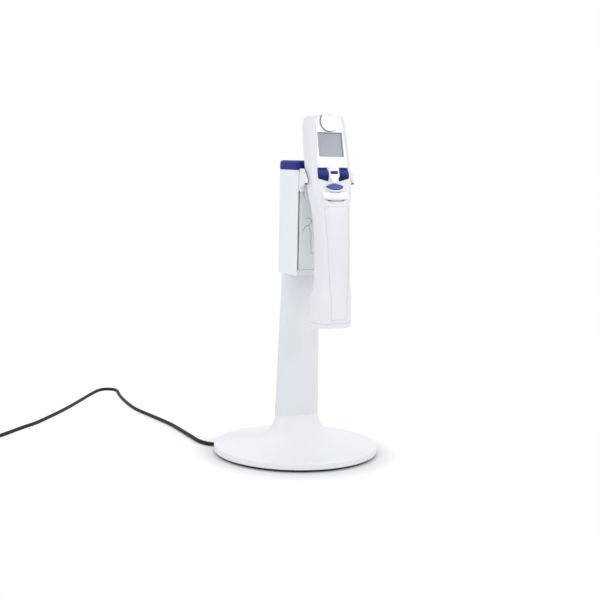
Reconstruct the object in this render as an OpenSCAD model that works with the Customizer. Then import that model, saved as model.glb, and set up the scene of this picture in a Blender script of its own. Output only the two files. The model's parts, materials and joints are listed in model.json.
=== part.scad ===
// Hand-held repeating pipette hanging on its charging stand, with the stand's supply lead.
// The origin is the middle of the foot on the table; the stand faces -Y, and +Z is up.

/* [Foot of the stand] */
// Diameter of the round foot
base_d = 156; // [136:1:190]
// Height of the foot's upright edge
rim_h = 6; // [5:0.5:9]
// Height of the rubber ring under the foot
ring_h = 2.5; // [2.5:0.1:4]
// Width of the rubber ring
ring_w = 6; // [4:0.5:10]
// How far the rubber ring lies inside the edge
ring_inset = 2; // [1.5:0.1:2.4]
// Thickness of the steel weight plate
plate_t = 2; // [1.5:0.1:2.4]
// Wall of the moulded stand parts
wall = 2.5; // [2:0.1:3]

/* [Column] */
// Height of the joint between foot and column
neck_z = 38; // [34:1:50]
// Width of the oval neck
neck_w = 45.6; // [42:0.1:54]
// Depth of the oval neck
neck_d = 22.4; // [21:0.1:30]
// Length of the column that shows above the neck
column_h = 136; // [100:1:180]
// Width of the column at its top
column_top_w = 38.2; // [34:0.1:42]
// Depth of the column at its top
column_top_d = 18.6; // [17:0.1:24]
// How much further forward the column's top is than its foot
column_lean = 3; // [0:0.1:5]
// Radius of the steel rod that ties the stand together
rod_r = 3; // [2:0.1:3.5]

/* [Housing] */
// Width of the housing
housing_w = 42; // [41.5:0.1:48]
// Depth of the housing
housing_d = 40; // [36:0.1:50]
// Height of the white shell
housing_h = 96; // [88:1:120]
// Wall of the shell
shell_t = 1.8; // [1.4:0.1:2.2]
// Height of the coloured cap
cap_h = 8.5; // [7:0.1:12]
// Height of the closed edge under the front panel
sill_h = 5; // [3:0.1:8]
// Dark gap beside the front panel
panel_gap = 1.1; // [0.6:0.1:1.6]
// Thickness of the front panel
panel_t = 2; // [1.5:0.1:3]

/* [Cradle] */
// Height of the cradle's plate
cradle_h = 18.4; // [17:0.1:24]
// Clearance between the pipette's head and each arm
arm_clear = 0.7; // [0.5:0.05:1.5]
// Thickness of an arm
arm_t = 2.8; // [2:0.1:4]
// How far the arms stand out from the housing
arm_reach = 26.3; // [24:0.1:32]
// Thickness of the bar that the hook hangs on
bar_t = 4.2; // [3.4:0.1:4.4]
// Height of the bar
bar_h = 7; // [6:0.1:8]
// Radius of a charging pin
pin_r = 1.1; // [0.8:0.1:1.3]
// Travel of a charging pin
pin_travel = 0.8; // [0.4:0.1:1]

/* [Pipette body] */
// Width of the foot of the pipette
foot_w = 36; // [35:0.1:40]
// Depth of the foot of the pipette
foot_d = 28.3; // [27:0.1:32]
// Height of the wide foot, with its collar
foot_h = 36; // [32:0.5:42]
// Height of the collar at the bottom
collar_h = 4.5; // [3:0.1:6]
// Width of the grip
grip_w = 32; // [31:0.1:35]
// Depth of the grip
grip_d = 25; // [24:0.1:28]
// Length of the grip
grip_h = 104; // [100:1:124]
// How far the grip carries the head back
head_set = 11.9; // [10:0.1:13]
// Lean of the head
head_tilt = 12.3; // [8:0.1:16]
// Width of the head
head_w = 42; // [40.5:0.1:42.4]
// Thickness of the head
head_d = 19.8; // [19.6:0.1:24]
// Length of the head
head_len = 49.5; // [48:0.5:60]
// Wall of the body shells
body_t = 2.2; // [1.8:0.1:2.4]

/* [Keys and display] */
// Distance from the head's side to the display window
screen_side = 8.1; // [7.8:0.1:10]
// Height of the display window
screen_h = 21.7; // [16:0.1:22.5]
// Radius of the selection dial
dial_r = 9; // [7:0.1:9.4]
// How far the dial stands proud
dial_proud = 3; // [2:0.1:4]
// Distance from the head's side to a rocker key
rocker_side = 5.5; // [5.2:0.1:7]
// Radius of a rocker key's rounded face
rocker_r = 9; // [8:0.1:10]
// How far a rocker key stands proud
rocker_proud = 1.6; // [1:0.1:2.2]
// Width of the start key
start_w = 16.8; // [12:0.1:18]
// Width of the ejector's thumb ledge
ledge_w = 26; // [22:0.1:28]
// Travel of the ejector
ejector_travel = 5; // [3:0.1:5.5]
// Running gap round a key
key_gap = 0.3; // [0.2:0.05:0.4]

/* [Drive] */
// Radius of the bore that takes the dispenser tip
socket_r = 9; // [8:0.1:9.6]
// Depth of that bore
socket_h = 12; // [10:0.1:13]
// Radius of the lead screw
screw_r = 2; // [1.5:0.1:2.4]
// Stroke of the plunger
plunger_travel = 26; // [16:1:28]
// Radius of the motor
motor_r = 5; // [4:0.1:5.2]
// Running clearance of a shaft in its hole
run_gap = 0.05; // [0.02:0.01:0.1]

/* [Supply lead] */
// Diameter of the lead
lead_d = 3.6; // [3:0.1:4.2]
// Length of the lead wound in the coil
coil_lead = 800; // [400:10:1200]

/* [Hidden] */

$fn = 48;
eps = 0.01;
seat_gap = 0.15;

// Foot and column
rim_r = base_d / 2;
rim_top = ring_h + rim_h;
neck_f = 1;
flare_drop = 13;
flare_rise = 3.5;
flare_share = 0.22;
edge_r = 1.2;
ring_points = 48;
column_lap = 10;
spigot_h = 8;
rod_bore = rod_r + run_gap;
boss_r = rod_r + 3;
boss_top = 20;
nut_h = 5;

// Housing
housing_z = neck_z + column_h;
housing_front = 31;
housing_mid = housing_front - housing_d / 2;
housing_top = housing_z + housing_h;
floor_z = housing_z + column_lap;
floor_t = 4;
back_r = 10;
front_r = 1.6;
cap_r = 3;
cap_skirt = 4;
inner_w = housing_w - 2 * shell_t;
cradle_z = housing_top - cradle_h;
panel_w = inner_w - 2 * panel_gap;
backing_t = 2;
plate_f = housing_front - panel_t;
board_f = housing_mid - housing_d / 2 + shell_t + 4;
board_t = 1.6;

// Cradle
arm_gap = head_w + 2 * arm_clear;
arm_mid = housing_front + 10;
arm_tip = housing_front + arm_reach;
tongue_f = housing_front + 1.4;
hook_t = 2.8;
bar_f = tongue_f + hook_t + 0.6;
bar_top = cradle_z + 6.4;
pin_z = bar_top - 3.5;
pin_x = 5;
pad_r = 1.4;

// Pipette: its own frame has the origin in the middle of the foot's underside
head_z = foot_h + grip_h;
sin_t = sin(head_tilt);
cos_t = cos(head_tilt);
face_n = head_d / 2;
inner_n = face_n - body_t;
neck_u = -20;
corner_front = 6.5;
corner_back = 9;
crown_r = 3;
corner_steps = 6;
hook_clear = 0.3;
hang_f = bar_f + bar_t + 0.5 - back_at(hook_u(0));
hang_z = bar_top + hook_clear - (head_z - 11.6);

// Keys and display, heights along the head from its lower end
screen_w = head_w - 2 * screen_side;
screen_u = 22;
dial_u = head_len - 7;
rocker_u = -5.4;
rocker_x = 5.8;
rocker_w = head_w / 2 - rocker_side - rocker_x;
rocker_lip = 6;
enter_u = -3.7;
enter_w = 7.5;
enter_h = 2.3;
start_u = -16.6;
start_lean = 26;
bridge_rise = 2;
plate_rise = 0.3;
plate_deep = 1.3;
axle_r = 0.8;
axle_n = face_n - 4;
board_n = 4;
board_h = 1.2;
tray_n = 2.4;
keys_n = 2;
ledge_top = head_z - 17.7;
ledge_h = 8;
slide_lean = 19;
bridge_h = 2.2;
bridge_top = ledge_top - 1.4;

// Drive
drive_f = -0.5;
socket_wall = 2.2;
socket_top = socket_h + 2;
throat_r = 7.2;
flange_r = 6.2;
tube_r = 5;
plunger_z = socket_top + 1.6;
plunger_h = 22;
bulkhead_t = 2;
motor_z = plunger_z + plunger_h + plunger_travel + 6.4;
motor_h = 22;
rail_x = 11;
rail_t = 1.6;

// Supply lead: the route of its middle line on the table, from the foot's edge to the coil
lead_z = lead_d / 2 + 0.2;
exit_angle = 140;
lead_route = [
    [-60, 50], [-64, 55], [-67.5, 62], [-69, 73], [-68, 89], [-67, 107], [-66, 123], [-65, 146],
    [-66, 169], [-68, 196], [-70, 223], [-69.5, 244], [-66, 272], [-61, 300], [-55.5, 322],
    [-53, 332], [-54, 342], [-62, 347.5], [-71, 344], [-81, 334], [-101, 310], [-127, 278],
    [-150, 252], [-170, 231], [-188, 213], [-205, 200], [-221, 187], [-235, 175.5], [-246, 168.6],
    [-259, 165.2], [-274, 164.7], [-290, 164.7]
];
coil_mid = [-290, 140];
coil_r = 21;
coil_turns = round(coil_lead / (2 * PI * coil_r));
coil_pitch = lead_d + 0.1;
coil_z = 0.9;
coil_layers = ceil(coil_turns / 2);
coil_h = coil_layers * coil_pitch;
coil_w = 3 * coil_pitch;
coil_in = coil_r - coil_w / 2;
coil_out = coil_r + coil_w / 2;
tie_t = 0.7;
tie_w = 8;
tie_slip = 0.05;
// How far the coil's inner side curves away within the tie's width
tie_bow = coil_in - sqrt(coil_in * coil_in - tie_w * tie_w / 4);
supply_size = [34, 56, 30];
supply_mid = [coil_mid.x - coil_out - supply_size.x / 2 - 0.3, coil_mid.y + 10];

// ---------- helpers ----------

function mix(a, b, t) = a + (b - a) * t;
function unit(v) = v / norm(v);
function bezier(p, t) =
    pow(1 - t, 3) * p[0] + 3 * t * pow(1 - t, 2) * p[1] + 3 * t * t * (1 - t) * p[2] + pow(t, 3) * p[3];
function smooth(a, b, c, d, t) =
    0.5 * (2 * b + (c - a) * t + (2 * a - 5 * b + 4 * c - d) * t * t + (3 * b - a - 3 * c + d) * pow(t, 3));

// Outline with each corner [x, y, r] rounded to its own radius
function rounded(corners, steps = corner_steps) = let (n = len(corners)) [
    for (i = [0:n - 1])
        let (
            v = [corners[i].x, corners[i].y],
            r = corners[i].z,
            a = unit([for (k = [0:1]) corners[(i + n - 1) % n][k]] - v),
            b = unit([for (k = [0:1]) corners[(i + 1) % n][k]] - v),
            half = acos(a * b) / 2,
            mid = v + unit(a + b) * r / sin(half),
            from = v + a * r / tan(half) - mid,
            to = v + b * r / tan(half) - mid,
            start = atan2(from.y, from.x),
            turn = (atan2(to.y, to.x) - start + 540) % 360 - 180
        )
        each r == 0 ? [v] : [
            for (k = [0:steps]) let (a = start + turn * k / steps) mid + r * [cos(a), sin(a)]
        ]
];

// Rounded rectangle about the origin, +y to the back, with its own front and back corner radii
function block_outline(half_x, half_y, r_back, r_front, steps = corner_steps) = [
    for (c = [[1, -1, r_front, -90], [1, 1, r_back, 0], [-1, 1, r_back, 90], [-1, -1, r_front, 180]])
        for (k = [0:steps])
            [c[0] * (half_x - c[2]), c[1] * (half_y - c[2])]
                + c[2] * [cos(c[3] + 90 * k / steps), sin(c[3] + 90 * k / steps)]
];

function oval(w, d, f, z, n = ring_points) = [
    for (k = [0:n - 1]) [w / 2 * cos(360 * k / n), d / 2 * sin(360 * k / n) - f, z]
];
function lift(outline, z, f = 0) = [for (p = outline) [p.x, p.y - f, z]];

// Skin through rings of equal point counts; a looped skin joins its last ring to its first
module skin(rings, looped = false) {
    n = len(rings[0]);
    m = len(rings);
    sides = [
        for (i = [0:m - (looped ? 1 : 2)])
            for (j = [0:n - 1])
                let (a = i * n, b = (i + 1) % m * n, k = (j + 1) % n)
                each [[a + j, b + j, b + k], [a + j, b + k, a + k]]
    ];
    caps = looped ? [] : [[for (j = [0:n - 1]) j], [for (j = [n - 1:-1:0]) (m - 1) * n + j]];
    polyhedron([for (r = rings) each r], concat(sides, caps));
}

// Solid whose side outline [y, z] is carried across the width
module across(w, outline) {
    rotate([90, 0, 90]) linear_extrude(w, center = true) polygon(outline);
}

// Tube swept along a route on the table
function heading(route, i) =
    unit(route[min(i + 1, len(route) - 1)] - route[max(i - 1, 0)]);
module tube(route, r) {
    skin([
        for (i = [0:len(route) - 1])
            let (t = heading(route, i), side = unit(cross([0, 0, 1], t)), up = cross(t, side))
            [for (k = [0:7]) route[i] + r * (side * cos(45 * k) + up * sin(45 * k))]
    ]);
}

// ---------- stand ----------

function flare(t) = bezier([
    [0, neck_z], [0, neck_z - flare_drop], [flare_share, rim_top + flare_rise], [1, rim_top]
], t);

function flare_ring(t, inset, drop) = let (
    p = flare(t),
    neck = oval(neck_w - 2 * inset, neck_d - 2 * inset, neck_f, 0),
    rim = oval(base_d - 2 * edge_r - 2 * inset, base_d - 2 * edge_r - 2 * inset, 0, 0)
) [for (j = [0:ring_points - 1]) let (q = mix(neck[j], rim[j], p.x)) [q.x, q.y, p.y - drop * t]];

module base_cover() color([0.92, 0.93, 0.95]) difference() {
    skin(looped = true, rings = concat(
        [oval(base_d, base_d, 0, ring_h)],
        [
            for (a = [0, 30, 60])
                oval(base_d - 2 * edge_r * (1 - cos(a)), base_d - 2 * edge_r * (1 - cos(a)), 0,
                    rim_top - edge_r * (1 - sin(a)))
        ],
        [for (i = [10:-1:0]) flare_ring(i / 10, 0, 0)],
        [for (i = [0:2:10]) flare_ring(i / 10, wall, wall)],
        [oval(base_d - 2 * wall, base_d - 2 * wall, 0, rim_top - wall - edge_r)],
        [oval(base_d - 2 * wall, base_d - 2 * wall, 0, ring_h)]
    ));
    lead_notch(0);
}

// Channel of the supply lead and its grommet through the foot, along the exit direction
grommet_w = lead_d + 3.6;
grommet_h = lead_d + 1.6;
grommet_len = 9;
module lead_notch(gap) {
    rotate(exit_angle)
        translate([rim_r - grommet_len, -grommet_w / 2 - gap, -eps])
            cube([grommet_len + wall, grommet_w + 2 * gap, grommet_h + gap + eps]);
}

module foot_ring() color([0.16, 0.16, 0.17]) difference() {
    rotate_extrude($fn = 96)
        polygon([
            [rim_r - ring_inset - ring_w, ring_h], [rim_r - ring_inset - ring_w + 1, 0],
            [rim_r - ring_inset - 1, 0], [rim_r - ring_inset, ring_h]
        ]);
    lead_notch(seat_gap);
}

plate_r = rim_r - wall - 0.3;
slot_w = lead_d + 1.4;
module weight_plate() color([0.6, 0.61, 0.63]) difference() {
    union() {
        translate([0, 0, ring_h]) cylinder(h = plate_t, r = plate_r, $fn = 96);
        translate([0, -neck_f, ring_h]) cylinder(h = boss_top - ring_h, r = boss_r);
    }
    translate([0, -neck_f, ring_h + plate_t]) cylinder(h = boss_top, r = rod_bore);
    lead_notch(seat_gap);
    rotate(exit_angle)
        translate([lead_turn - 5, -slot_w / 2, -eps]) cube([rim_r, slot_w, boss_top + eps]);
}

column_top = neck_z + column_h + column_lap;
function column_f(z) = neck_f + column_lean * (z - neck_z) / (column_top - neck_z);
function column_ring(z, inset) = let (t = max(0, (z - neck_z) / (column_top - neck_z))) oval(
    mix(neck_w, column_top_w, t) - 2 * inset, mix(neck_d, column_top_d, t) - 2 * inset,
    max(neck_f, column_f(z)), z);

module column() color([0.88, 0.89, 0.91]) difference() {
    skin([
        column_ring(neck_z - spigot_h, wall + 0.5), column_ring(neck_z, wall + 0.5),
        column_ring(neck_z, 0), column_ring(column_top, 0)
    ]);
    skin([
        column_ring(neck_z - spigot_h - eps, wall + 1.5), column_ring(neck_z + 1, wall + 1.5),
        column_ring(neck_z + 4, wall + 0.5), column_ring(column_top - wall, wall + 0.5)
    ]);
    service_holes(column_top - wall);
}

// Holes for the tie rod and for the lead beside it
module service_holes(z) {
    translate([0, -neck_f, z - 1]) cylinder(h = 12, r = rod_bore);
    translate([inner_x, lead_y, z - 1]) cylinder(h = 12, r = lead_d / 2 + 1.2);
}

module tie_rod() color([0.7, 0.7, 0.72]) {
    translate([0, -neck_f, ring_h + plate_t])
        cylinder(h = floor_z + floor_t + nut_h + 2 - ring_h - plate_t, r = rod_r);
}

module tie_nut() color([0.75, 0.75, 0.77]) translate([0, -neck_f, floor_z + floor_t]) difference() {
    union() {
        cylinder(h = 1, r = rod_r * 2);
        cylinder(h = nut_h, r = rod_r * 1.8, $fn = 6);
    }
    translate([0, 0, -eps]) cylinder(h = nut_h + 1, r = rod_bore);
}

// Lead inside the foot and column, from the grommet up to the charging board
lead_turn = 14;
inner_x = -9;
lead_y = -1.2;
module inner_lead() color([0.14, 0.14, 0.15]) {
    r = lead_d / 2 - 0.4;
    out = [cos(exit_angle), sin(exit_angle)];
    route = [
        for (d = [rim_r - grommet_len, 50, 30, lead_turn + 4]) [d * out.x, d * out.y, lead_z],
        [lead_turn * out.x, lead_turn * out.y, lead_z + 2.4], [inner_x - 0.4, 6, lead_z + 8],
        [inner_x, 2, lead_z + 14],
        [inner_x, -1, neck_z], [inner_x, -column_f(column_top) + 1, column_top - 12],
        [inner_x, -board_f - board_t - r - 0.2, board_z], [inner_x, -board_f - board_t - r - 0.2, board_z + 9]
    ];
    lead_tube(route, r);
}

// Tube along a route that also climbs
module lead_tube(route, r) {
    skin([
        for (i = [0:len(route) - 1])
            let (t = heading(route, i), side = unit(cross(t, [0.3, 1, 0.1])), up = cross(t, side))
            [for (k = [0:7]) route[i] + r * (side * cos(45 * k) + up * sin(45 * k))]
    ]);
}

module lead_grommet() color([0.13, 0.13, 0.14]) difference() {
    intersection() {
        rotate(exit_angle)
            translate([rim_r - grommet_len + 0.1, -grommet_w / 2 + 0.1, 0.15])
                cube([grommet_len, grommet_w - 0.2, grommet_h - 0.3]);
        cylinder(h = rim_top, r = rim_r - 0.2, $fn = 96);
    }
    rotate(exit_angle) translate([0, 0, lead_z]) rotate([0, 90, 0])
        translate([0, 0, rim_r - 1.5]) cylinder(h = wall, r = lead_d / 2 + 0.2);
}

function housing_outline(inset) = block_outline(
    housing_w / 2 - inset, housing_d / 2 - inset, back_r - inset, max(front_r - inset, 0.4), 8);

module housing_slab(z, h, inset) {
    translate([0, -housing_mid, z]) linear_extrude(h) polygon(housing_outline(inset));
}

module housing_shell() color([0.92, 0.93, 0.95]) difference() {
    union() {
        difference() {
            housing_slab(housing_z, housing_h, 0);
            housing_slab(housing_z + floor_t / 2, housing_h, shell_t);
        }
        intersection() {
            skin([column_ring(housing_z, -2), column_ring(floor_z + floor_t, -2)]);
            housing_slab(housing_z, housing_h, shell_t / 2);
        }
    }
    skin([column_ring(housing_z - 1, -seat_gap), column_ring(floor_z, -seat_gap)]);
    translate([-inner_w / 2, -housing_front - 1, housing_z + sill_h])
        cube([inner_w, shell_t + 2, housing_h]);
    service_holes(floor_z);
    board_holes(0.9 + run_gap, shell_t + 1);
}

board_z = floor_z + floor_t + 8;
board_size = [30, board_t, 58];
module board_holes(r, h, f = board_f) {
    for (x = [-9, 9]) for (z = [14, 50])
        translate([x, -f, board_z + z]) rotate([-90, 0, 0]) cylinder(h = h, r = r);
}

module charger_board() color([0.1, 0.35, 0.2]) difference() {
    union() {
        translate([-board_size.x / 2, -board_f - board_t, board_z]) cube(board_size);
        translate([2, -board_f - board_t - 6, board_z + 26]) cube([10, 6.5, 12]);
        for (x = [-8, -2]) translate([x, -board_f - board_t, board_z + 38])
            rotate([90, 0, 0]) cylinder(h = 9, r = 2.5);
        board_holes(2.2, 4 - seat_gap, board_f + eps);
    }
    board_holes(0.9 + run_gap, 8, board_f + board_t + 1);
}

module board_screws() color([0.7, 0.7, 0.72]) {
    board_holes(0.9, board_t + 3, board_f + board_t);
    board_holes(1.8, 1.2, board_f + board_t + 1.2);
}

module panel_backing() color([0.13, 0.13, 0.14]) {
    translate([-inner_w / 2 + seat_gap, -plate_f, housing_z + sill_h + seat_gap])
        cube([inner_w - 2 * seat_gap, backing_t, housing_h - sill_h - cap_skirt - 2 * seat_gap]);
}

module front_panel() color([0.79, 0.81, 0.81]) {
    z0 = housing_z + sill_h + seat_gap;
    translate([-panel_w / 2, -housing_front + 0.3, z0])
        cube([panel_w, panel_t - 0.3, cradle_z - 0.4 - z0]);
}

function cap_ring(e, z) = lift(
    block_outline(housing_w / 2 - e, housing_d / 2 - e, back_r - e, 3.2 - e / 2, 8), z, housing_mid);
module top_cap() color([0.3, 0.3, 0.62]) {
    edge_z = housing_top + cap_h - cap_r;
    skin(concat(
        [cap_ring(0.2, housing_top), cap_ring(0, housing_top + 0.6), cap_ring(0, edge_z)],
        [for (a = [30, 60, 90]) cap_ring(cap_r * (1 - cos(a)), edge_z + cap_r * sin(a))]
    ));
    translate([0, 0, -cap_skirt]) housing_slab(housing_top, cap_skirt + 0.3, shell_t + seat_gap);
}

// One arm in plan, from the plate out round the pipette's head
function arm_plan(side) = let (w = inner_w / 2 - seat_gap, g = arm_gap / 2) [
    for (p = rounded([
        [w - arm_t, plate_f, 0], [w, plate_f, 0], [w, housing_front + 0.5, 2], [g + arm_t, arm_mid, 8],
        [g + arm_t, arm_tip, 1.3], [g, arm_tip, 1.3], [g, arm_mid, 8], [w - arm_t, housing_front + 0.5, 2]
    ])) [side * p.x, -p.y]
];

// Side view of the arms and their bar
function arm_side() = [
    for (p = rounded([
        [plate_f, cradle_z, 0], [arm_mid, cradle_z + 2.4, 4], [arm_tip - 3, cradle_z + 4.2, 2.5],
        [arm_tip, cradle_z + 8.2, 3], [arm_tip - 5, cradle_z + 15.5, 4], [arm_tip - 9.5, housing_top + 1.8, 3],
        [housing_front + 4, housing_top + 1.2, 3], [plate_f, housing_top - cap_skirt, 0]
    ])) [-p.x, p.y]
];

module arm_pad_pair(r, grow) {
    for (x = [-1, 1])
        translate([x * (arm_gap + arm_t) / 2, -arm_tip + 3.4, cradle_z + 5.4]) rotate([0, 90, 0])
            cylinder(h = arm_t + grow, r = r, center = true);
}

module cradle() color([0.93, 0.94, 0.95]) difference() {
    union() {
        translate([-inner_w / 2 + seat_gap, -housing_front, cradle_z])
            cube([inner_w - 2 * seat_gap, panel_t, cradle_h - cap_skirt - 0.3]);
        intersection() {
            union() for (side = [-1, 1])
                translate([0, 0, cradle_z]) linear_extrude(cradle_h + 4) polygon(arm_plan(side));
            across(housing_w * 2, arm_side());
        }
        translate([-arm_gap / 2 + 0.6, -bar_f - bar_t, bar_top - bar_h]) cube([arm_gap - 1.2, bar_t, bar_h]);
    }
    arm_pad_pair(pad_r + run_gap, 1);
    charge_pin_pair(pin_r + run_gap, bar_f + 0.9, bar_f + bar_t + 1);
}

module arm_pads() color([0.2, 0.2, 0.21]) arm_pad_pair(pad_r, 0.3);

module charge_pin_pair(r, from_f, to_f) {
    for (x = [-1, 1])
        translate([x * pin_x, -from_f, pin_z]) rotate([90, 0, 0]) cylinder(h = to_f - from_f, r = r);
}

module charge_pins() color([0.85, 0.7, 0.35]) {
    charge_pin_pair(pin_r, bar_f + 0.9 + pin_travel + 0.2, hang_f + back_at(hook_u(pin_z - hang_z)) - 0.3);
}

// ---------- pipette ----------

// Stations of the body: height, front of the foot's axis, lean, half width, half depth, corner radii
function head_station(u, grow) = [
    head_z + u * cos_t, -head_set - u * sin_t, head_tilt, head_w / 2 + grow, face_n, corner_back, corner_front
];
function grip_at(share) = foot_h + grip_h * share;
stations = [
    [collar_h, 0, 0, foot_w / 2, foot_d / 2, 9, 12],
    [foot_h * 0.45, 0, 0, foot_w / 2, foot_d / 2, 9, 12],
    [foot_h - 7, 0.1, 0, foot_w / 2 - 0.1, foot_d / 2, 9, 12],
    [foot_h, 2, 0, grip_w / 2 + 0.7, grip_d / 2 - 0.6, 9, 12],
    [grip_at(0.13), 1.4, 1, grip_w / 2 + 0.1, grip_d / 2, 9.5, 12],
    [grip_at(0.39), -0.1, 4, grip_w / 2, grip_d / 2 + 0.1, 10, 12],
    [grip_at(0.63), -head_set * 0.31, 8, mix(grip_w, head_w, 0.15) / 2, mix(grip_d, head_d, 0.15) / 2, 10, 10],
    head_station(neck_u, -0.8),
    head_station(-2, 0),
    head_station(20, -0.3),
    head_station(head_len - 9, -1),
    head_station(head_len - crown_r, -1.9)
];

function station(s) = let (
    last = len(stations) - 1, i = min(floor(s), last - 1), t = s - i
) smooth(stations[max(i - 1, 0)], stations[i], stations[i + 1], stations[min(i + 2, last)], t);

// Section of the body at a station, taken in by an inset, and raised along its own axis
function body_ring(q, inset, rise = 0) = [
    for (p = block_outline(
        q[3] - inset, q[4] - inset, max(q[5] - inset, 0.8), max(q[6] - inset, 0.8)))
        [
            p.x,
            p.y * cos(q[2]) - q[1] + rise * sin(q[2]),
            q[0] - p.y * sin(q[2]) + rise * cos(q[2])
        ]
];

body_steps = 2;
body_last = len(stations) - 1;
module body_solid(inset) {
    top = stations[body_last];
    skin(concat(
        [for (i = [0:body_last * body_steps]) body_ring(station(i / body_steps), inset)],
        inset > 0 ? [] : [
            for (a = [30, 60, 90]) body_ring(top, crown_r * (1 - cos(a)), crown_r * sin(a))
        ]
    ));
}

// Everything in front of the parting line, which follows the body's own axis
module front_side() {
    axis = [for (q = stations) [-q[1] , q[0]]];
    top = axis[body_last];
    across(head_w * 2, concat(
        [[-head_w * 2, collar_h - 1], [axis[0].x, collar_h - 1]], axis,
        [top + 12 * [sin_t, cos_t], [-head_w * 2, top.y + 12]]
    ));
}

// Frame of the head: x across, y to the back, z up the face from its lower end
module head() {
    translate([0, head_set, head_z]) rotate([-head_tilt, 0, 0]) children();
}

// Pipette hung on the cradle
module hung() {
    translate([0, -hang_f, hang_z]) children();
}

// Distance of the head's back face in front of the foot's axis, at a height along the head
function back_at(u) = -head_set - u * sin_t - face_n * cos_t;
function hook_u(z) = let (h = z == 0 ? head_z - 11.6 : z) (h - head_z + face_n * sin_t) / cos_t;

// Plate outlines on the face, [x, height along the head]
face_low = rocker_u + rocker_lip + 0.9;
function face_outline(grow) = let (low = head_w / 2 - 5.4, high = head_w / 2 - 8, neck = 2.6) [
    for (p = rounded([
        [-low, face_low, 0.8], [-neck - 3, face_low, 0.4], [-neck - 3, -7.6, 2.4], [-neck, -10.5, 1.5],
        [-neck, -13.2, 0.8], [neck, -13.2, 0.8], [neck, -10.5, 1.5], [neck + 3, -7.6, 2.4],
        [neck + 3, face_low, 0.4], [low, face_low, 0.8], [high, head_len - crown_r, 2.5],
        [-high, head_len - crown_r, 2.5]
    ])) let (c = [0, head_len / 2]) p + grow * unit(p - c)
];

module on_face(n, h, outline) {
    translate([0, -n, 0]) rotate([90, 0, 0]) linear_extrude(h) polygon(outline);
}

module face_box(w, h, u, n0, n1, x = 0) {
    translate([x - w / 2, -n1, u - h / 2]) cube([w, n1 - n0, h]);
}

// Slab on the face from one height to another
module face_span(half_w, low, high, n0, n1) {
    face_box(2 * half_w, high - low, (low + high) / 2, n0, n1);
}

module dial_pocket(r, n0, n1) {
    translate([0, -n0, dial_u]) rotate([90, 0, 0]) cylinder(h = n1 - n0, r = r);
}

// Room for one rocker key, as an outline on the face
function rocker_outline(side, gap) = [
    for (p = [
        [rocker_x - gap, rocker_u - rocker_lip - gap + 0.2], [rocker_x - gap, rocker_u + rocker_lip + gap],
        [rocker_x + rocker_w + gap, rocker_u + rocker_lip + gap],
        [rocker_x + rocker_w + gap, rocker_u - rocker_lip + 3 - gap]
    ]) [side * p.x, p.y]
];

module rocker(side) {
    difference() {
        intersection() {
            translate([0, -face_n - rocker_proud + rocker_r, rocker_u]) rotate([0, 90, 0])
                cylinder(h = head_w, r = rocker_r, center = true, $fn = 96);
            on_face(axle_n - 1.4, 8, rocker_outline(side, 0));
            translate([0, 0, rocker_u - rocker_lip]) translate([-head_w / 2, -face_n - 4, 0.6])
                cube([head_w, 9, 2 * rocker_lip - 1.8]);
        }
        translate([0, -axle_n, rocker_u]) rotate([0, 90, 0])
            cylinder(h = head_w, r = axle_r + run_gap, center = true);
    }
}

module rocker_left() color([0.2, 0.22, 0.58]) hung() head() rocker(-1);
module rocker_right() color([0.2, 0.22, 0.58]) hung() head() rocker(1);

module rocker_axle() color([0.7, 0.7, 0.72]) hung() head()
    translate([0, -axle_n, rocker_u]) rotate([0, 90, 0]) cylinder(h = axle_len, r = axle_r, center = true);
axle_len = 2 * (head_w / 2 - 3.8);

// Half-moon start key, on a face that leans back further than the head
module start_frame() {
    translate([0, -face_n, start_u]) rotate([-start_lean, 0, 0]) children();
}
function start_outline(gap) = let (w = start_w / 2 + gap, h = 3 + gap) rounded([
    [-w, 0.6, 0.6], [-w * 0.62, h, 4], [w * 0.62, h, 4], [w, 0.6, 0.6], [w * 0.55, -h, 5], [-w * 0.55, -h, 5]
]);
module start_key() color([0.24, 0.27, 0.62]) hung() head() start_frame()
    translate([0, 2.4, 0]) rotate([90, 0, 0]) linear_extrude(3.8) polygon(start_outline(0));

module enter_key() color([0.2, 0.22, 0.58]) hung() head() {
    on_face(face_n - 0.5, bridge_rise + 0.9, rounded([
        for (c = [[-1, -1], [1, -1], [1, 1], [-1, 1]])
            [c.x * enter_w / 2, enter_u + c.y * enter_h / 2, 0.9]
    ]));
    face_box(3, 1.2, enter_u, keys_n + 2.5, face_n - 0.5 + eps);
}

// Side outline of the ejector's ledge [y, z] and its plan; the ledge stands off the body's front
ledge_f = 3.6;
function front_line(z) = -head_set + (head_z - z) * tan(head_tilt) + face_n / cos_t;
ledge_at = front_line(ledge_top);
ledge_low = ledge_top - ledge_h;
ledge_back = 0.5;
function ledge_side() = [
    for (p = rounded([
        [ledge_at + ledge_back, ledge_top, 0.2], [ledge_at + ledge_f, ledge_top - 2, 1.6],
        [ledge_at + ledge_f + 0.8, ledge_low + 0.6, 1], [ledge_at + ledge_back + ledge_h * 0.31, ledge_low, 0.4]
    ])) [-p.x, p.y]
];
module ledge_plan(w, f) {
    depth = 4.2;
    r = (pow(w / 2, 2) + depth * depth) / (2 * depth);
    translate([0, -f + r, 0]) circle(r = r, $fn = 96);
}

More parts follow.
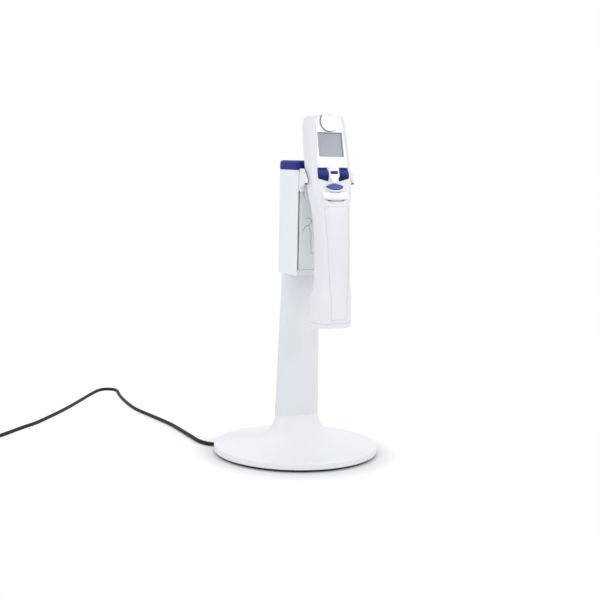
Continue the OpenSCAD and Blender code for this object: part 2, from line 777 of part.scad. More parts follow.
// Slot in the front shell for the bridge behind the ledge, which slides down and forward
bridge_w = 16;
module bridge(gap) {
    translate([-bridge_w / 2 - gap, -ledge_at - 1.5 - gap, bridge_top - bridge_h - gap])
        cube([bridge_w + 2 * gap, 5 + 2 * gap, bridge_h + 2 * gap]);
}
module ejector_slot(gap) {
    for (t = [0, ejector_travel / 2, ejector_travel])
        translate([0, -t * sin(slide_lean), -t * cos(slide_lean)]) bridge(gap);
    translate([-bridge_w / 2 - gap, -ledge_at - 4, bridge_top - bridge_h - ejector_travel * cos(slide_lean)])
        cube([bridge_w + 2 * gap, 8, ejector_travel * cos(slide_lean) + bridge_h / 2]);
}

module ejector() color([0.93, 0.94, 0.96]) hung() {
    intersection() {
        across(ledge_w, ledge_side());
        linear_extrude(head_z) ledge_plan(ledge_w, ledge_at + ledge_f + 0.4);
    }
    bridge(0);
}

// Rod under the bridge [front of the axis, height]; its pin pushes the tip out of the socket
rod_foot = socket_top + 9;
pin_f = 7.6;
push_r = 0.7;
rod_line = [[7.9, rod_foot], [7.9, 60], [5.5, 99], [1.6, 109], [0.4, bridge_top - bridge_h - 0.05]];
module ejector_rod() color([0.6, 0.61, 0.64]) hung() {
    across(7, concat(
        [for (p = rod_line) [-p.x - 0.7, p.y]],
        [for (i = [len(rod_line) - 1:-1:0]) [-rod_line[i].x + 0.7, rod_line[i].y]]
    ));
    translate([0, -pin_f, socket_h + 0.3]) cylinder(h = rod_foot - socket_h, r = push_r);
}

module ejector_spring() color([0.7, 0.7, 0.72]) hung()
    translate([0, -pin_f, socket_top + bulkhead_t + 0.1]) difference() {
        cylinder(h = rod_foot - socket_top - bulkhead_t - 0.2, r = 1.6);
        translate([0, 0, -eps]) cylinder(h = 20, r = push_r + 0.3);
    }

// Front panel of the grip: a strip of the body's own surface
function surface_f(q, x) = let (r = q[6], side = max(0, abs(x) - (q[3] - r)))
    q[4] - r + sqrt(max(r * r - side * side, 0));
function strip_point(q, x, inset) = let (f = surface_f(q, x) - inset)
    [x, -f * cos(q[2]) - q[1], q[0] + f * sin(q[2])];
strip_low = 0.35;
strip_high = 6.25;
strip_rows = 12;
strip_cols = 8;
function strip_half(t) = mix(7.4, 10.6, pow(t, 1.6));
module grip_strip(grow, out, deep) {
    skin([
        for (i = [0:strip_rows])
            let (
                t = i / strip_rows,
                s = mix(strip_low - grow * 0.03, strip_high + grow * 0.03, t),
                q = station(s),
                w = strip_half(t) + grow
            )
            concat(
                [for (j = [0:strip_cols]) strip_point(q, mix(-w, w, j / strip_cols), -out)],
                [for (j = [strip_cols:-1:0]) strip_point(q, mix(-w, w, j / strip_cols), deep)]
            )
    ]);
}
module grip_panel() color([0.92, 0.93, 0.95]) hung() grip_strip(0, 0, 1.1);

module body_shell() {
    difference() {
        body_solid(0);
        body_solid(body_t);
    }
}

module front_shell() color([0.93, 0.94, 0.95]) hung() difference() {
    intersection() {
        body_shell();
        front_side();
    }
    grip_strip(0.12, 1.5, 1.2);
    ejector_slot(key_gap);
    head() {
        on_face(face_n - plate_deep, 3, face_outline(0.1));
        dial_pocket(dial_r + key_gap, face_n - plate_deep, face_n + 2);
        dial_pocket(2.5, inner_n - 1, face_n);
        face_box(screen_w + 3.4, screen_h + 3.4, screen_u, inner_n - 1, face_n);
        for (side = [-1, 1]) on_face(inner_n - 2, 6, rocker_outline(side, key_gap + 0.1));
        face_box(3.6, 1.8, enter_u, inner_n - 1, face_n);
        start_frame() translate([0, 5, 0]) rotate([90, 0, 0])
            linear_extrude(8) polygon(start_outline(key_gap));
    }
}

module rear_shell() color([0.93, 0.94, 0.95]) hung() difference() {
    body_shell();
    front_side();
    hook_root(0.1);
    head() {
        face_box(
            cover_w + 2 * seat_gap, cover_h + 30, cover_u + 15 - seat_gap, -face_n - 1, -face_n + cover_t
        );
        face_box(cell_w + 1, cell_h + 1, cell_u, -face_n, -inner_n + 1);
    }
    plate_pair(0.1);
    screw_set(0.9 + run_gap, 1.9 + run_gap);
}

module foot_collar() color([0.9, 0.91, 0.93]) hung() difference() {
    union() {
        skin([
            lift(block_outline(foot_w / 2 - 1, foot_d / 2 - 1, 8, 11), 0),
            lift(block_outline(foot_w / 2 - 0.3, foot_d / 2 - 0.3, 8.7, 11.7), 0.9),
            lift(block_outline(foot_w / 2, foot_d / 2, 9, 12), 2),
            lift(block_outline(foot_w / 2, foot_d / 2, 9, 12), collar_h - 0.15)
        ]);
    }
    translate([0, -drive_f, -1]) cylinder(h = collar_h + 2, r = socket_r + socket_wall + run_gap);
}

module tip_socket() color([0.3, 0.31, 0.33]) hung() difference() {
    union() {
        translate([0, -drive_f, 0.6]) cylinder(h = socket_top - 0.6, r = socket_r + socket_wall);
        translate([0, 0, collar_h]) linear_extrude(3) polygon(block_outline(
            foot_w / 2 - body_t - seat_gap, foot_d / 2 - body_t - seat_gap, 9 - body_t, 12 - body_t));
    }
    translate([0, -drive_f, -1]) cylinder(h = socket_h + 1, r = socket_r);
    translate([0, -drive_f, socket_h - eps]) cylinder(h = 10, r = throat_r);
    translate([0, -pin_f, socket_h - 1]) cylinder(h = 10, r = push_r + run_gap);
}

chassis_top = motor_z + motor_h + bulkhead_t;
module chassis() color([0.35, 0.36, 0.38]) hung() difference() {
    union() {
        for (x = [-1, 1])
            translate([x * (rail_x - rail_t / 2) - rail_t / 2, -drive_f - 2, socket_top])
                cube([rail_t, 5, chassis_top - socket_top]);
        for (z = [socket_top, motor_z - bulkhead_t, chassis_top - bulkhead_t])
            translate([-rail_x, -drive_f - 4.5, z]) cube([2 * rail_x, 9, bulkhead_t]);
        translate([-9, -pin_f - 2.2, socket_top]) cube([18, 8, bulkhead_t]);
        for (s = screw_seats) for (x = [-1, 1])
            translate([x * screw_x - 2, -drive_f + 2, s.x - 2.5]) cube([4, 4, 5]);
    }
    translate([0, -drive_f, socket_top - 1]) cylinder(h = bulkhead_t + 2, r = flange_r + 0.4);
    translate([0, -drive_f, motor_z - bulkhead_t - 1]) cylinder(h = bulkhead_t + 2, r = screw_r + run_gap);
    translate([0, -pin_f, socket_top - 1]) cylinder(h = 10, r = push_r + run_gap);
    screw_set(0.9 + run_gap, 0.9 + run_gap);
}

// Screws from behind hold the chassis in the rear shell: their heights, and where their heads sit
screw_seats = [[socket_top + 2.5, 12.6], [chassis_top - 2.5, 12.8]];
screw_x = 8.5;
module screw_set(r, head_r, head_h = 10) {
    for (s = screw_seats) for (x = [-1, 1]) translate([x * screw_x, 0, s.x]) rotate([-90, 0, 0]) {
        translate([0, 0, 3 - drive_f]) cylinder(h = s.y - 3 + drive_f + eps, r = r);
        translate([0, 0, s.y]) cylinder(h = head_h, r = head_r);
    }
}

module chassis_screws() color([0.7, 0.7, 0.72]) hung() screw_set(0.9, 1.9, 1.2);

module motor() color([0.55, 0.56, 0.58]) hung() translate([0, -drive_f, motor_z]) difference() {
    cylinder(h = motor_h - 0.1, r = motor_r);
    translate([0, 0, -eps]) cylinder(h = 3, r = screw_r + run_gap);
}

module lead_screw() color([0.75, 0.75, 0.77]) hung()
    translate([0, -drive_f, plunger_z + 2]) cylinder(h = motor_z + 2.8 - plunger_z - 2, r = screw_r);

module plunger() color([0.5, 0.52, 0.55]) hung() translate([0, -drive_f, plunger_z]) difference() {
    union() {
        cylinder(h = plunger_h, r = tube_r);
        cylinder(h = 3, r = flange_r);
        translate([0, 0, plunger_h - 3]) cylinder(h = 3, r = flange_r);
    }
    translate([0, 0, -eps]) cylinder(h = plunger_h + 1, r = screw_r + run_gap);
    for (a = [0:90:270]) rotate(a) translate([screw_r + 1.2, -0.6, -eps]) cube([flange_r, 1.2, 6]);
}

// Hook for the index finger, which also hangs the pipette up
function hook_inner() = -(tongue_f + hook_t - hang_f);
function hook_side() = let (
    y0 = -back_at(hook_u(0)), z0 = head_z - 11.6, back = hook_inner() + hook_t
) rounded([
    [y0 - 1.4, z0 + 7, 0], [y0 + 2.4, z0 + 7.4, 2], [back, z0 + 4.2, 5], [back, z0 - 16, 1.2],
    [back - hook_t, z0 - 15, 1], [back - hook_t, z0, 0.4], [y0 - 1.4, z0, 0]
]);
hook_w = 28;
root_w = 21;
module hook_root(gap) {
    y0 = -back_at(hook_u(0));
    z0 = head_z - 11.6;
    translate([-root_w / 2 - gap, y0 - 1.4 - gap / 2, z0 - gap]) cube([root_w + 2 * gap, 4.4, 7.6 + 2 * gap]);
}
module finger_hook() color([0.93, 0.94, 0.95]) hung() {
    z0 = head_z - 11.6;
    y0 = -back_at(hook_u(0));
    intersection() {
        across(hook_w, hook_side());
        translate([0, 60, 0]) rotate([90, 0, 0]) linear_extrude(80) polygon(rounded([
            [-hook_w / 2, z0 + 9, 5], [-hook_w / 2, z0 - 16.5, 7.5],
            [hook_w / 2, z0 - 16.5, 7.5], [hook_w / 2, z0 + 9, 5]
        ]));
        union() {
            translate([-hook_w, y0 + 1.9, 0]) cube([2 * hook_w, 20, head_z * 2]);
            translate([-root_w / 2, 0, 0]) cube([root_w, y0 + 2, head_z * 2]);
        }
    }
}

module plate_pair(gap) {
    u = hook_u(pin_z - hang_z);
    for (x = [-1, 1]) head() translate([x * pin_x, face_n - 0.9 - gap, u]) rotate([-90, 0, 0])
        cylinder(h = 0.9 + (gap > 0 ? 2 : 0), r = pin_r + 1.4 + gap);
}
module charge_plates() color([0.85, 0.7, 0.35]) hung() plate_pair(0);

// ---------- pipette head ----------

cell_w = head_w - 17;
cell_h = 36;
cell_t = 8;
cell_u = 22;
cell_n = -inner_n + 0.2;
cover_w = cell_w - 0.4;
cover_h = cell_h + 6;
cover_u = cell_u + 1;
cover_t = 1.6;
cell_top = cell_n + cell_t;

module faceplate() color([0.98, 0.98, 0.99]) hung() head() difference() {
    union() {
        on_face(face_n - plate_deep + 0.05, plate_deep + plate_rise - 0.05, face_outline(0));
        on_face(face_n - plate_deep + 0.05, plate_deep + bridge_rise - 0.05, rounded([
            [-5.2, -7.4, 2], [-2.5, -9.8, 1], [-2.5, -13, 1], [2.5, -13, 1], [2.5, -9.8, 1],
            [5.2, -7.4, 2], [5.2, face_low + 0.6, 1.2], [-5.2, face_low + 0.6, 1.2]
        ]));
    }
    face_box(screen_w + 2 * seat_gap, screen_h + 2 * seat_gap, screen_u, face_n - 4, face_n + 4);
    dial_pocket(dial_r + key_gap, face_n - 4, face_n + 4);
    on_face(face_n - 4, 9, rounded([
        for (c = [[-1, -1], [1, -1], [1, 1], [-1, 1]])
            [c.x * (enter_w / 2 + key_gap), enter_u + c.y * (enter_h / 2 + key_gap), 0.9 + key_gap]
    ]));
}

module display_window() color([0.62, 0.65, 0.7, 0.6]) hung() head()
    face_box(screen_w, screen_h, screen_u, face_n - plate_deep + 0.1, face_n + plate_rise - 0.2);

module display_module() color([0.6, 0.63, 0.68]) hung() head()
    face_box(screen_w + 3, screen_h + 3, screen_u, board_n + board_h + 0.05, face_n - plate_deep);

module circuit_board() color([0.1, 0.35, 0.2]) hung() head() {
    face_span(inner_x_half - tray_side - 0.2, 3, board_top_u, board_n, board_n + board_h);
}
inner_x_half = head_w / 2 - body_t;
board_top_u = head_len - 4.4;

// Tray between the boards and the cells: a plate behind the circuit board, one behind the key board
tray_side = 2.8;
key_side = 4;
key_low = -22.4;
key_high = -0.4;
module head_tray() color([0.35, 0.36, 0.38]) hung() head() {
    face_span(inner_x_half - tray_side, 3, board_top_u, tray_n, board_n - 0.05);
    face_span(inner_x_half - key_side + 0.8, key_low - 2, 3.6, 0.4, keys_n);
    face_span(cell_w / 4, 0, 4, 0.4, tray_n + 0.4);
    for (x = [-1, 1]) {
        face_box(1.6, cell_h + 2, cell_u, cell_top - 3, tray_n + 0.5, x * (cell_w / 2 + 1.1));
        face_box(3, 2, 6, cell_top - 1, tray_n + 0.2, x * (cell_w / 2 + 1.6));
    }
    for (u = [-cell_h / 2 + 4, cell_h / 2 - 6])
        face_box(cell_w - 4, 1.2, cell_u + u, cell_top + 0.1, tray_n + 0.4);
}

module key_board() color([0.1, 0.35, 0.2]) hung() head() {
    face_span(inner_x_half - key_side, key_low, key_high, keys_n + 0.02, keys_n + 1.2);
    for (x = [-1, 1]) face_box(4, 3, rocker_u, keys_n + 1, axle_n - 2, x * (rocker_x + rocker_w / 2));
    face_box(3, 2, enter_u, keys_n + 1, keys_n + 1.7);
}

module battery_pack() color([0.25, 0.3, 0.5]) hung() head()
    face_box(cell_w, cell_h, cell_u, cell_n, cell_n + cell_t);

module battery_cover() color([0.92, 0.93, 0.94]) hung() head() difference() {
    face_box(cover_w, cover_h, cover_u, -face_n + 0.02, -face_n + cover_t - 0.1);
    for (k = [0:3]) face_box(12, 0.8, cover_u + cover_h / 2 - 5 - 1.8 * k, -face_n - 1, -face_n + 0.5);
}

module dial_encoder() color([0.2, 0.2, 0.22]) hung() head() difference() {
    dial_pocket(2.2, board_n + board_h + 0.02, face_n - plate_deep - 0.1);
    dial_pocket(1.25 + run_gap, board_n + board_h + 1, face_n);
}

module dial() color([0.96, 0.96, 0.97]) hung() head() {
    translate([0, -face_n + plate_deep - 0.1, dial_u]) rotate([90, 0, 0]) difference() {
        union() {
            rotate_extrude($fn = 96) polygon(concat(
                [[0, 0], [dial_r - 0.4, 0], [dial_r, 0.4]],
                [
                    for (a = [0:15:90])
                        [dial_r - 1 + cos(a), dial_proud + plate_deep - 1 + sin(a)]
                ],
                [[0, dial_proud + plate_deep]]
            ));
            translate([0, 0, -face_n + plate_deep + board_n + board_h + 1.3])
                cylinder(h = face_n - plate_deep - board_n - board_h - 1.2, r = 1.25);
        }
        translate([0, dial_r * 0.52, dial_proud + plate_deep + 4.2]) sphere(r = 5, $fn = 64);
    }
}

// ---------- supply lead ----------

module supply_lead() color([0.12, 0.12, 0.13])
    tube([for (p = lead_route) [p.x, p.y, lead_z]], lead_d / 2);

module lead_coil() color([0.12, 0.12, 0.13]) translate([coil_mid.x, coil_mid.y, coil_z]) {
    rotate_extrude($fn = 64) translate([coil_in, 0]) square([coil_w, coil_h]);
    translate([0, coil_r + coil_pitch, coil_h - lead_d / 2 - 0.1]) rotate([0, -90, 0])
        cylinder(h = coil_mid.x - supply_mid.x - supply_size.x / 2, r = lead_d / 2);
}

// Band round one side of the coil
module lead_tie() color([0.2, 0.2, 0.21])
    translate([coil_mid.x, coil_mid.y + tie_w / 2, coil_z]) rotate([90, 0, 0])
        linear_extrude(tie_w) difference() {
            tie_outline(tie_slip + tie_t);
            tie_outline(tie_slip);
        }
module tie_outline(grow)
    translate([coil_in - tie_bow - grow, -grow])
        square([coil_w + tie_bow + 2 * grow, coil_h + 2 * grow]);

module power_supply() color([0.15, 0.15, 0.16])
    translate([supply_mid.x, supply_mid.y, 0]) linear_extrude(supply_size.z) polygon(rounded([
        for (c = [[-1, -1], [1, -1], [1, 1], [-1, 1]])
            [c.x * supply_size.x / 2, c.y * supply_size.y / 2, 5]
    ]));

module supply_prongs() color([0.75, 0.75, 0.77])
    for (y = [-9.5, 9.5])
        translate([supply_mid.x, supply_mid.y + y, supply_size.z]) cylinder(h = 19, r = 2);

// ---------- all pieces ----------

base_cover();
foot_ring();
weight_plate();
column();
tie_rod();
tie_nut();
inner_lead();
lead_grommet();
housing_shell();
panel_backing();
front_panel();
top_cap();
charger_board();
board_screws();
cradle();
arm_pads();
charge_pins();
rear_shell();
front_shell();
foot_collar();
tip_socket();
chassis();
chassis_screws();
finger_hook();
grip_panel();
faceplate();
display_window();
display_module();
circuit_board();
head_tray();
key_board();
battery_pack();
battery_cover();
charge_plates();
dial_encoder();
dial();
rocker_axle();
rocker_left();
rocker_right();
enter_key();
start_key();
ejector();
ejector_rod();
ejector_spring();
motor();
lead_screw();
plunger();
supply_lead();
lead_coil();
lead_tie();
power_supply();
supply_prongs();
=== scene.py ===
"""Looks of a hand-held repeating pipette hanging on its charging stand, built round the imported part.

Metres throughout, in the part's own frame: the origin is the middle of the foot on the table, +Z is up,
and -Y is the side that the pipette hangs on. Sizes are written in millimetres and become metres as they
are made into meshes. The head frame is [across, out of the face, up the face] from the head's lower end.
"""
import json
import math

import bmesh
import bpy
import numpy as np
from mathutils import Matrix

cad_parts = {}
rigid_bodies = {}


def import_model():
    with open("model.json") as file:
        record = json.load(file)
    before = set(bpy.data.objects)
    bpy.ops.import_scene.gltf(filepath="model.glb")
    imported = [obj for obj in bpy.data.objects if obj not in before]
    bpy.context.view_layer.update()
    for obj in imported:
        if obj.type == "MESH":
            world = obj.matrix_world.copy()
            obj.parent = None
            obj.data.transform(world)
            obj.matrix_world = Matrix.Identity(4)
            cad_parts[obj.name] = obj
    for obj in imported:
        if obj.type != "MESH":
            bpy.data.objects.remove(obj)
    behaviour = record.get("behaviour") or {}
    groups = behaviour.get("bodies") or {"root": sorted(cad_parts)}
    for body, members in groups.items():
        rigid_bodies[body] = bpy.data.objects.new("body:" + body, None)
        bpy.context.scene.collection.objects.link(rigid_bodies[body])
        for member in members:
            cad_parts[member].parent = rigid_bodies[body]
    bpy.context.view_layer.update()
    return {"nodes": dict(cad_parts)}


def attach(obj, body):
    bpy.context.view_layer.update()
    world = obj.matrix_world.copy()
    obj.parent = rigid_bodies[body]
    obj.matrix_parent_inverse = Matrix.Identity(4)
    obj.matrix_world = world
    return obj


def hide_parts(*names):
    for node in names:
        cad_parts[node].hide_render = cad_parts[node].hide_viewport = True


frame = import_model()
nodes = frame["nodes"]
MM = 0.001


def put_in_scene(name, data):
    """A new object of the scene that shows the data."""
    thing = bpy.data.objects.new(name, data)
    bpy.context.scene.collection.objects.link(thing)
    return thing

# ------------------------ camera

camera_data = bpy.data.cameras.new("camera")
camera_data.sensor_width = 36
camera_data.lens = 72
camera_data.clip_start, camera_data.clip_end = 0.05, 50
camera = put_in_scene("camera", camera_data)
CAMERA_AT = (-0.56272, -0.97844, 0.28936)
CAMERA_AXES = np.array([[0.8671, -0.4978, 0.0190], [0.0459, 0.1179, 0.9920], [-0.4961, -0.8592, 0.1251]])
camera.matrix_world = Matrix.Translation(CAMERA_AT) @ Matrix(CAMERA_AXES.T.tolist()).to_4x4()
bpy.context.scene.camera = camera

# ------------------------ making meshes


def soften(piece, smooth_angle):
    """Shades a piece smooth, apart from edges sharper than the given angle in degrees."""
    piece.data.shade_smooth()
    piece.data.set_sharp_from_angle(angle=math.radians(smooth_angle))


def make_piece(name, points, faces, smooth_angle=None):
    """A closed mesh from points in millimetres, its faces turned outwards, smooth below the given angle."""
    mesh = bpy.data.meshes.new(name)
    mesh.from_pydata((np.asarray(points, float).reshape(-1, 3) * MM).tolist(), [], faces)
    work = bmesh.new()
    work.from_mesh(mesh)
    bmesh.ops.remove_doubles(work, verts=work.verts, dist=1e-7)
    bmesh.ops.recalc_face_normals(work, faces=work.faces)
    work.to_mesh(mesh)
    work.free()
    piece = put_in_scene(name, mesh)
    if smooth_angle is not None:
        soften(piece, smooth_angle)
    return piece


def ring_faces(rows, cols, looped=False, first=0):
    """Quads between neighbouring rings; a looped skin closes on its first ring, others get flat ends."""
    i = np.arange(rows if looped else rows - 1)[:, None]
    j = np.arange(cols)[None, :]
    k, below = (j + 1) % cols, (i + 1) % rows
    corners = [i * cols + j, i * cols + k, below * cols + k, below * cols + j]
    faces = (np.stack(np.broadcast_arrays(*corners), -1).reshape(-1, 4) + first).tolist()
    if not looped:
        faces += [list(range(first + cols - 1, first - 1, -1)),
                  list(range(first + (rows - 1) * cols, first + rows * cols))]
    return faces


def lofts(name, stacks, smooth_angle=32, looped=False):
    """Solids through rings of points, each ring joined to the next point by point, kept as one piece."""
    points, faces, first = [], [], 0
    for rings in stacks:
        rings = np.asarray(rings, float)
        points.append(rings.reshape(-1, 3))
        faces += ring_faces(*rings.shape[:2], looped, first)
        first += len(points[-1])
    return make_piece(name, np.vstack(points), faces, smooth_angle)


def loft(name, rings, smooth_angle=32, looped=False):
    """One solid through rings of points."""
    return lofts(name, [rings], smooth_angle, looped)


def full_turn(steps):
    """Angles in equal steps once round, in radians."""
    return np.arange(steps) * 2 * math.pi / steps


def lift(outline, level, axis=2):
    """Points of an outline, with a level put in as their coordinate on the given axis."""
    return np.insert(np.asarray(outline, float), axis, level, axis=1)


def sweep(path, radius, sides=16):
    """Rings of a round tube along a path: each ring stands square to the path, one side kept level."""
    path = np.asarray(path, float)
    along = np.gradient(path, axis=0)
    along /= np.linalg.norm(along, axis=1)[:, None]
    level = np.cross([0.0, 0.0, 1.0], along)
    level /= np.linalg.norm(level, axis=1)[:, None]
    up = np.cross(along, level)
    turn = full_turn(sides)[:, None]
    radius = np.broadcast_to(radius, len(path))[:, None, None]
    return path[:, None] + radius * (level[:, None] * np.cos(turn) + up[:, None] * np.sin(turn))


def catmull(points, per_span):
    """A smooth curve through points: each span blends its four nearest points by the Catmull-Rom cubic."""
    p = np.asarray(points, float)
    p = np.vstack([2 * p[0] - p[1], p, 2 * p[-1] - p[-2]])
    return cubic(p[:-3, None], p[1:-2, None], p[2:-1, None], p[3:, None],
                 np.linspace(0, 1, per_span, endpoint=False)[:, None]).reshape(-1, p.shape[1])


def cubic(a, b, c, d, t):
    """The Catmull-Rom cubic from b to c, leaving and arriving along a to c and b to d."""
    square, cube = 2 * a - 5 * b + 4 * c - d, 3 * b - a - 3 * c + d
    return 0.5 * (2 * b + (c - a) * t + square * t ** 2 + cube * t ** 3)


def bezier(a, b, c, d, t):
    """The Bezier cubic from a to d, pulled towards b and c."""
    return (1 - t) ** 3 * a + 3 * t * (1 - t) ** 2 * b + 3 * t ** 2 * (1 - t) * c + t ** 3 * d


def ease(t):
    """The smooth step 3t^2 - 2t^3, held at its ends."""
    t = np.clip(t, 0, 1)
    return t * t * (3 - 2 * t)


def rounded(corners, steps=10):
    """Outline with each corner [x, y, r] turned into an arc that touches both of its sides.

    The arc's middle lies r / sin(half) from the corner, where half is half of the corner's angle.
    """
    corners = np.asarray(corners, float)
    spots, outline = corners[:, :2], []
    for i, (spot, r) in enumerate(zip(spots, corners[:, 2])):
        back, ahead = spots[i - 1] - spot, spots[(i + 1) % len(spots)] - spot
        back, ahead = back / np.linalg.norm(back), ahead / np.linalg.norm(ahead)
        half = math.acos(float(back @ ahead)) / 2
        middle = spot + (back + ahead) / np.linalg.norm(back + ahead) * r / math.sin(half)
        begin, end = [spot + way * r / math.tan(half) - middle for way in (back, ahead)]
        start = math.atan2(begin[1], begin[0])
        turn = (math.atan2(end[1], end[0]) - start + 3 * math.pi) % (2 * math.pi) - math.pi
        angle = start + turn * np.linspace(0, 1, steps + 1)[:, None]
        outline.append(middle + r * np.hstack([np.cos(angle), np.sin(angle)]))
    return np.vstack(outline)


SQUARE = ((-1, -1), (1, -1), (1, 1), (-1, 1))


def box_outline(w, h, r, mid=(0, 0), steps=6):
    """Rounded rectangle about a middle point."""
    return rounded([(mid[0] + a * w / 2, mid[1] + b * h / 2, r) for a, b in SQUARE], steps)


# Corners of a block: the side in x, the side in y, and where the corner's quarter circle begins in degrees
CORNERS = np.array([[1, -1, -90], [1, 1, 0], [-1, 1, 90], [-1, -1, 180]], float)


def blocks(half_x, half_y, r_back, r_front, steps=14):
    """Rounded rectangles, +y to the back: a quarter circle of its own radius is set into each corner."""
    radius = np.where(CORNERS[:, 1] > 0, r_back[:, None], r_front[:, None])
    angle = np.radians(CORNERS[:, 2, None] + np.linspace(0, 90, steps + 1))
    x = (CORNERS[:, 0] * (half_x[:, None] - radius))[..., None] + radius[..., None] * np.cos(angle)
    y = (CORNERS[:, 1] * (half_y[:, None] - radius))[..., None] + radius[..., None] * np.sin(angle)
    return np.stack([x, y], -1)


def carve(piece, *cutters):
    """Takes each cutter out of the piece, one after another, and keeps what is left as its mesh."""
    for cutter in cutters:
        step = piece.modifiers.new("carve", "BOOLEAN")
        step.object, step.operation, step.solver = cutter, "DIFFERENCE", "MANIFOLD"
    bpy.context.view_layer.update()
    whole = piece.data
    shown = piece.evaluated_get(bpy.context.evaluated_depsgraph_get())
    piece.data = bpy.data.meshes.new_from_object(shown)
    piece.modifiers.clear()
    bpy.data.meshes.remove(whole)
    for cutter in cutters:
        bpy.data.meshes.remove(cutter.data)


def round_edges(piece, width, segments=2, smooth_angle=32):
    """Rounds the sharp edges and keeps the flat faces flat in the light."""
    soften(piece, smooth_angle)
    edge = piece.modifiers.new("edges", "BEVEL")
    edge.width, edge.segments = width * MM, segments
    edge.limit_method, edge.angle_limit = "ANGLE", math.radians(smooth_angle)
    edge.miter_outer = "MITER_ARC"
    edge.harden_normals = False
    even = piece.modifiers.new("even", "WEIGHTED_NORMAL")
    even.keep_sharp = True


def place_piece(piece, body, slot_name, material, *replaced):
    """Rides the piece on its body, gives it its material, and hides the nodes it stands for. The slot name is
    not used.
    """
    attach(piece, body)
    if replaced:
        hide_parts(*replaced)
    piece.data.materials.clear()
    piece.data.materials.append(material)
    return piece


FLAT_WITHIN = 0.6  # degrees


def read(rows, name):
    """A vector property of all faces or points of a mesh."""
    values = np.zeros(3 * len(rows))
    rows.foreach_get(name, values)
    return values.reshape(-1, 3)


def second_material(piece, material, chosen):
    """Gives the chosen faces of a piece a second material."""
    piece.data.materials.append(material)
    piece.data.polygons.foreach_set("material_index", chosen.astype(np.int32))


def dress(name, slot_name, material, edge=0.3, segments=2):
    """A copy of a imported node: its triangles are merged into flat faces, and its edges are rounded."""
    piece = put_in_scene(name + "_dressed", nodes[name].data.copy())
    work = bmesh.new()
    work.from_mesh(piece.data)
    bmesh.ops.remove_doubles(work, verts=work.verts, dist=1e-6)
    bmesh.ops.dissolve_limit(work, angle_limit=math.radians(FLAT_WITHIN), verts=work.verts, edges=work.edges)
    work.to_mesh(piece.data)
    work.free()
    if piece.data.has_custom_normals:
        piece.data.attributes.remove(piece.data.attributes["custom_normal"])
    round_edges(piece, edge, segments)
    return place_piece(piece, nodes[name].parent.name.split(":")[1], slot_name, material, name)

# ------------------------ finishes


def new_group(name, inputs, outputs):
    """An empty shader node group with inputs {name: (kind, value)} and outputs {name: kind}."""
    group = bpy.data.node_groups.new(name, "ShaderNodeTree")
    socket = group.interface.new_socket
    for label, (kind, value) in inputs.items():
        socket(label, in_out="INPUT", socket_type="NodeSocket" + kind).default_value = value
    for label, kind in outputs.items():
        socket(label, in_out="OUTPUT", socket_type="NodeSocket" + kind)
    return group, group.nodes.new("NodeGroupInput").outputs, group.nodes.new("NodeGroupOutput")


def feed(node, inputs):
    """Gives each named input of a node a plain value, or links it to an output."""
    for key, value in inputs.items():
        if isinstance(value, bpy.types.NodeSocket):
            node.id_data.links.new(value, node.inputs[key])
        else:
            node.inputs[key].default_value = value
    return node


def add(tree, kind, inputs=None, **props):
    """A node with its properties set and its inputs fed."""
    node = tree.nodes.new("ShaderNode" + kind)
    for key, value in props.items():
        setattr(node, key, value)
    return feed(node, inputs or {})


def maths(operation, *terms):
    """The output of a Math node whose terms are numbers or outputs."""
    tree = next(term for term in terms if isinstance(term, bpy.types.NodeSocket)).id_data
    return add(tree, "Math", dict(enumerate(terms)), operation=operation).outputs[0]


def remap(value, low, high, to_low=0.0, to_high=1.0, kind="LINEAR"):
    """The output of a Map Range node: low to high becomes to_low to to_high, and stays within them."""
    return add(value.id_data, "MapRange", {
        "Value": value, "From Min": low, "From Max": high, "To Min": to_low, "To Max": to_high,
    }, interpolation_type=kind).outputs["Result"]


def color_mix(share, near, far):
    """The output of a colour Mix node that goes from near to far by a share."""
    mix = add(share.id_data, "Mix", {"Factor": share, "A": near, "B": far}, data_type="RGBA")
    return mix.outputs["Result"]


def shader_mix(share, near, far):
    """The output of a Mix Shader node that goes from near to far by a share."""
    return add(share.id_data, "MixShader", {"Fac": share, 1: near, 2: far}).outputs[0]


def scaled(color, factor):
    """A colour made lighter or darker by a factor."""
    node = add(color.id_data, "VectorMath", {0: color, "Scale": factor}, operation="SCALE")
    return node.outputs["Vector"]


def noise(place, scale, detail=2.0):
    """The value of a Noise Texture at a place."""
    node = add(place.id_data, "TexNoise", {"Vector": place, "Scale": scale, "Detail": detail})
    return node.outputs["Fac"]


def relief(height, strength):
    """The normal of a surface that a height lifts by up to a tenth of a millimetre."""
    node = add(height.id_data, "Bump", {"Height": height, "Strength": strength, "Distance": 0.1 * MM})
    return node.outputs["Normal"]


def object_place(tree):
    """Where a point lies on its object, in metres."""
    return add(tree, "TexCoord").outputs["Object"]


def axes(place):
    """The X, Y and Z of a place."""
    return add(place.id_data, "SeparateXYZ", {"Vector": place}).outputs


def moulded_group():
    """Moulded plastic: the colour drifts slowly, and a fine grain varies the gloss and lifts the surface."""
    tree, given, out = new_group("moulded_plastic", {
        "Color": ("Color", (0.8, 0.8, 0.8, 1)), "Drift": ("Float", 0.02), "Grain Size": ("Float", 2500.0),
        "Grain Depth": ("Float", 0.04), "Rough": ("Float", 0.4), "Rough Spread": ("Float", 0.06),
    }, {"Base Color": "Color", "Roughness": "Float", "Normal": "Vector"})
    place = object_place(tree)
    swing = remap(noise(place, 14.0, 3.0), 0.3, 0.7, -1.0, 1.0)
    grain = noise(place, given["Grain Size"])
    feed(out, {
        "Base Color": scaled(given["Color"], maths("MULTIPLY_ADD", swing, given["Drift"], 1.0)),
        "Roughness": maths("MULTIPLY_ADD", grain, given["Rough Spread"], given["Rough"]),
        "Normal": relief(grain, given["Grain Depth"])})
    return tree


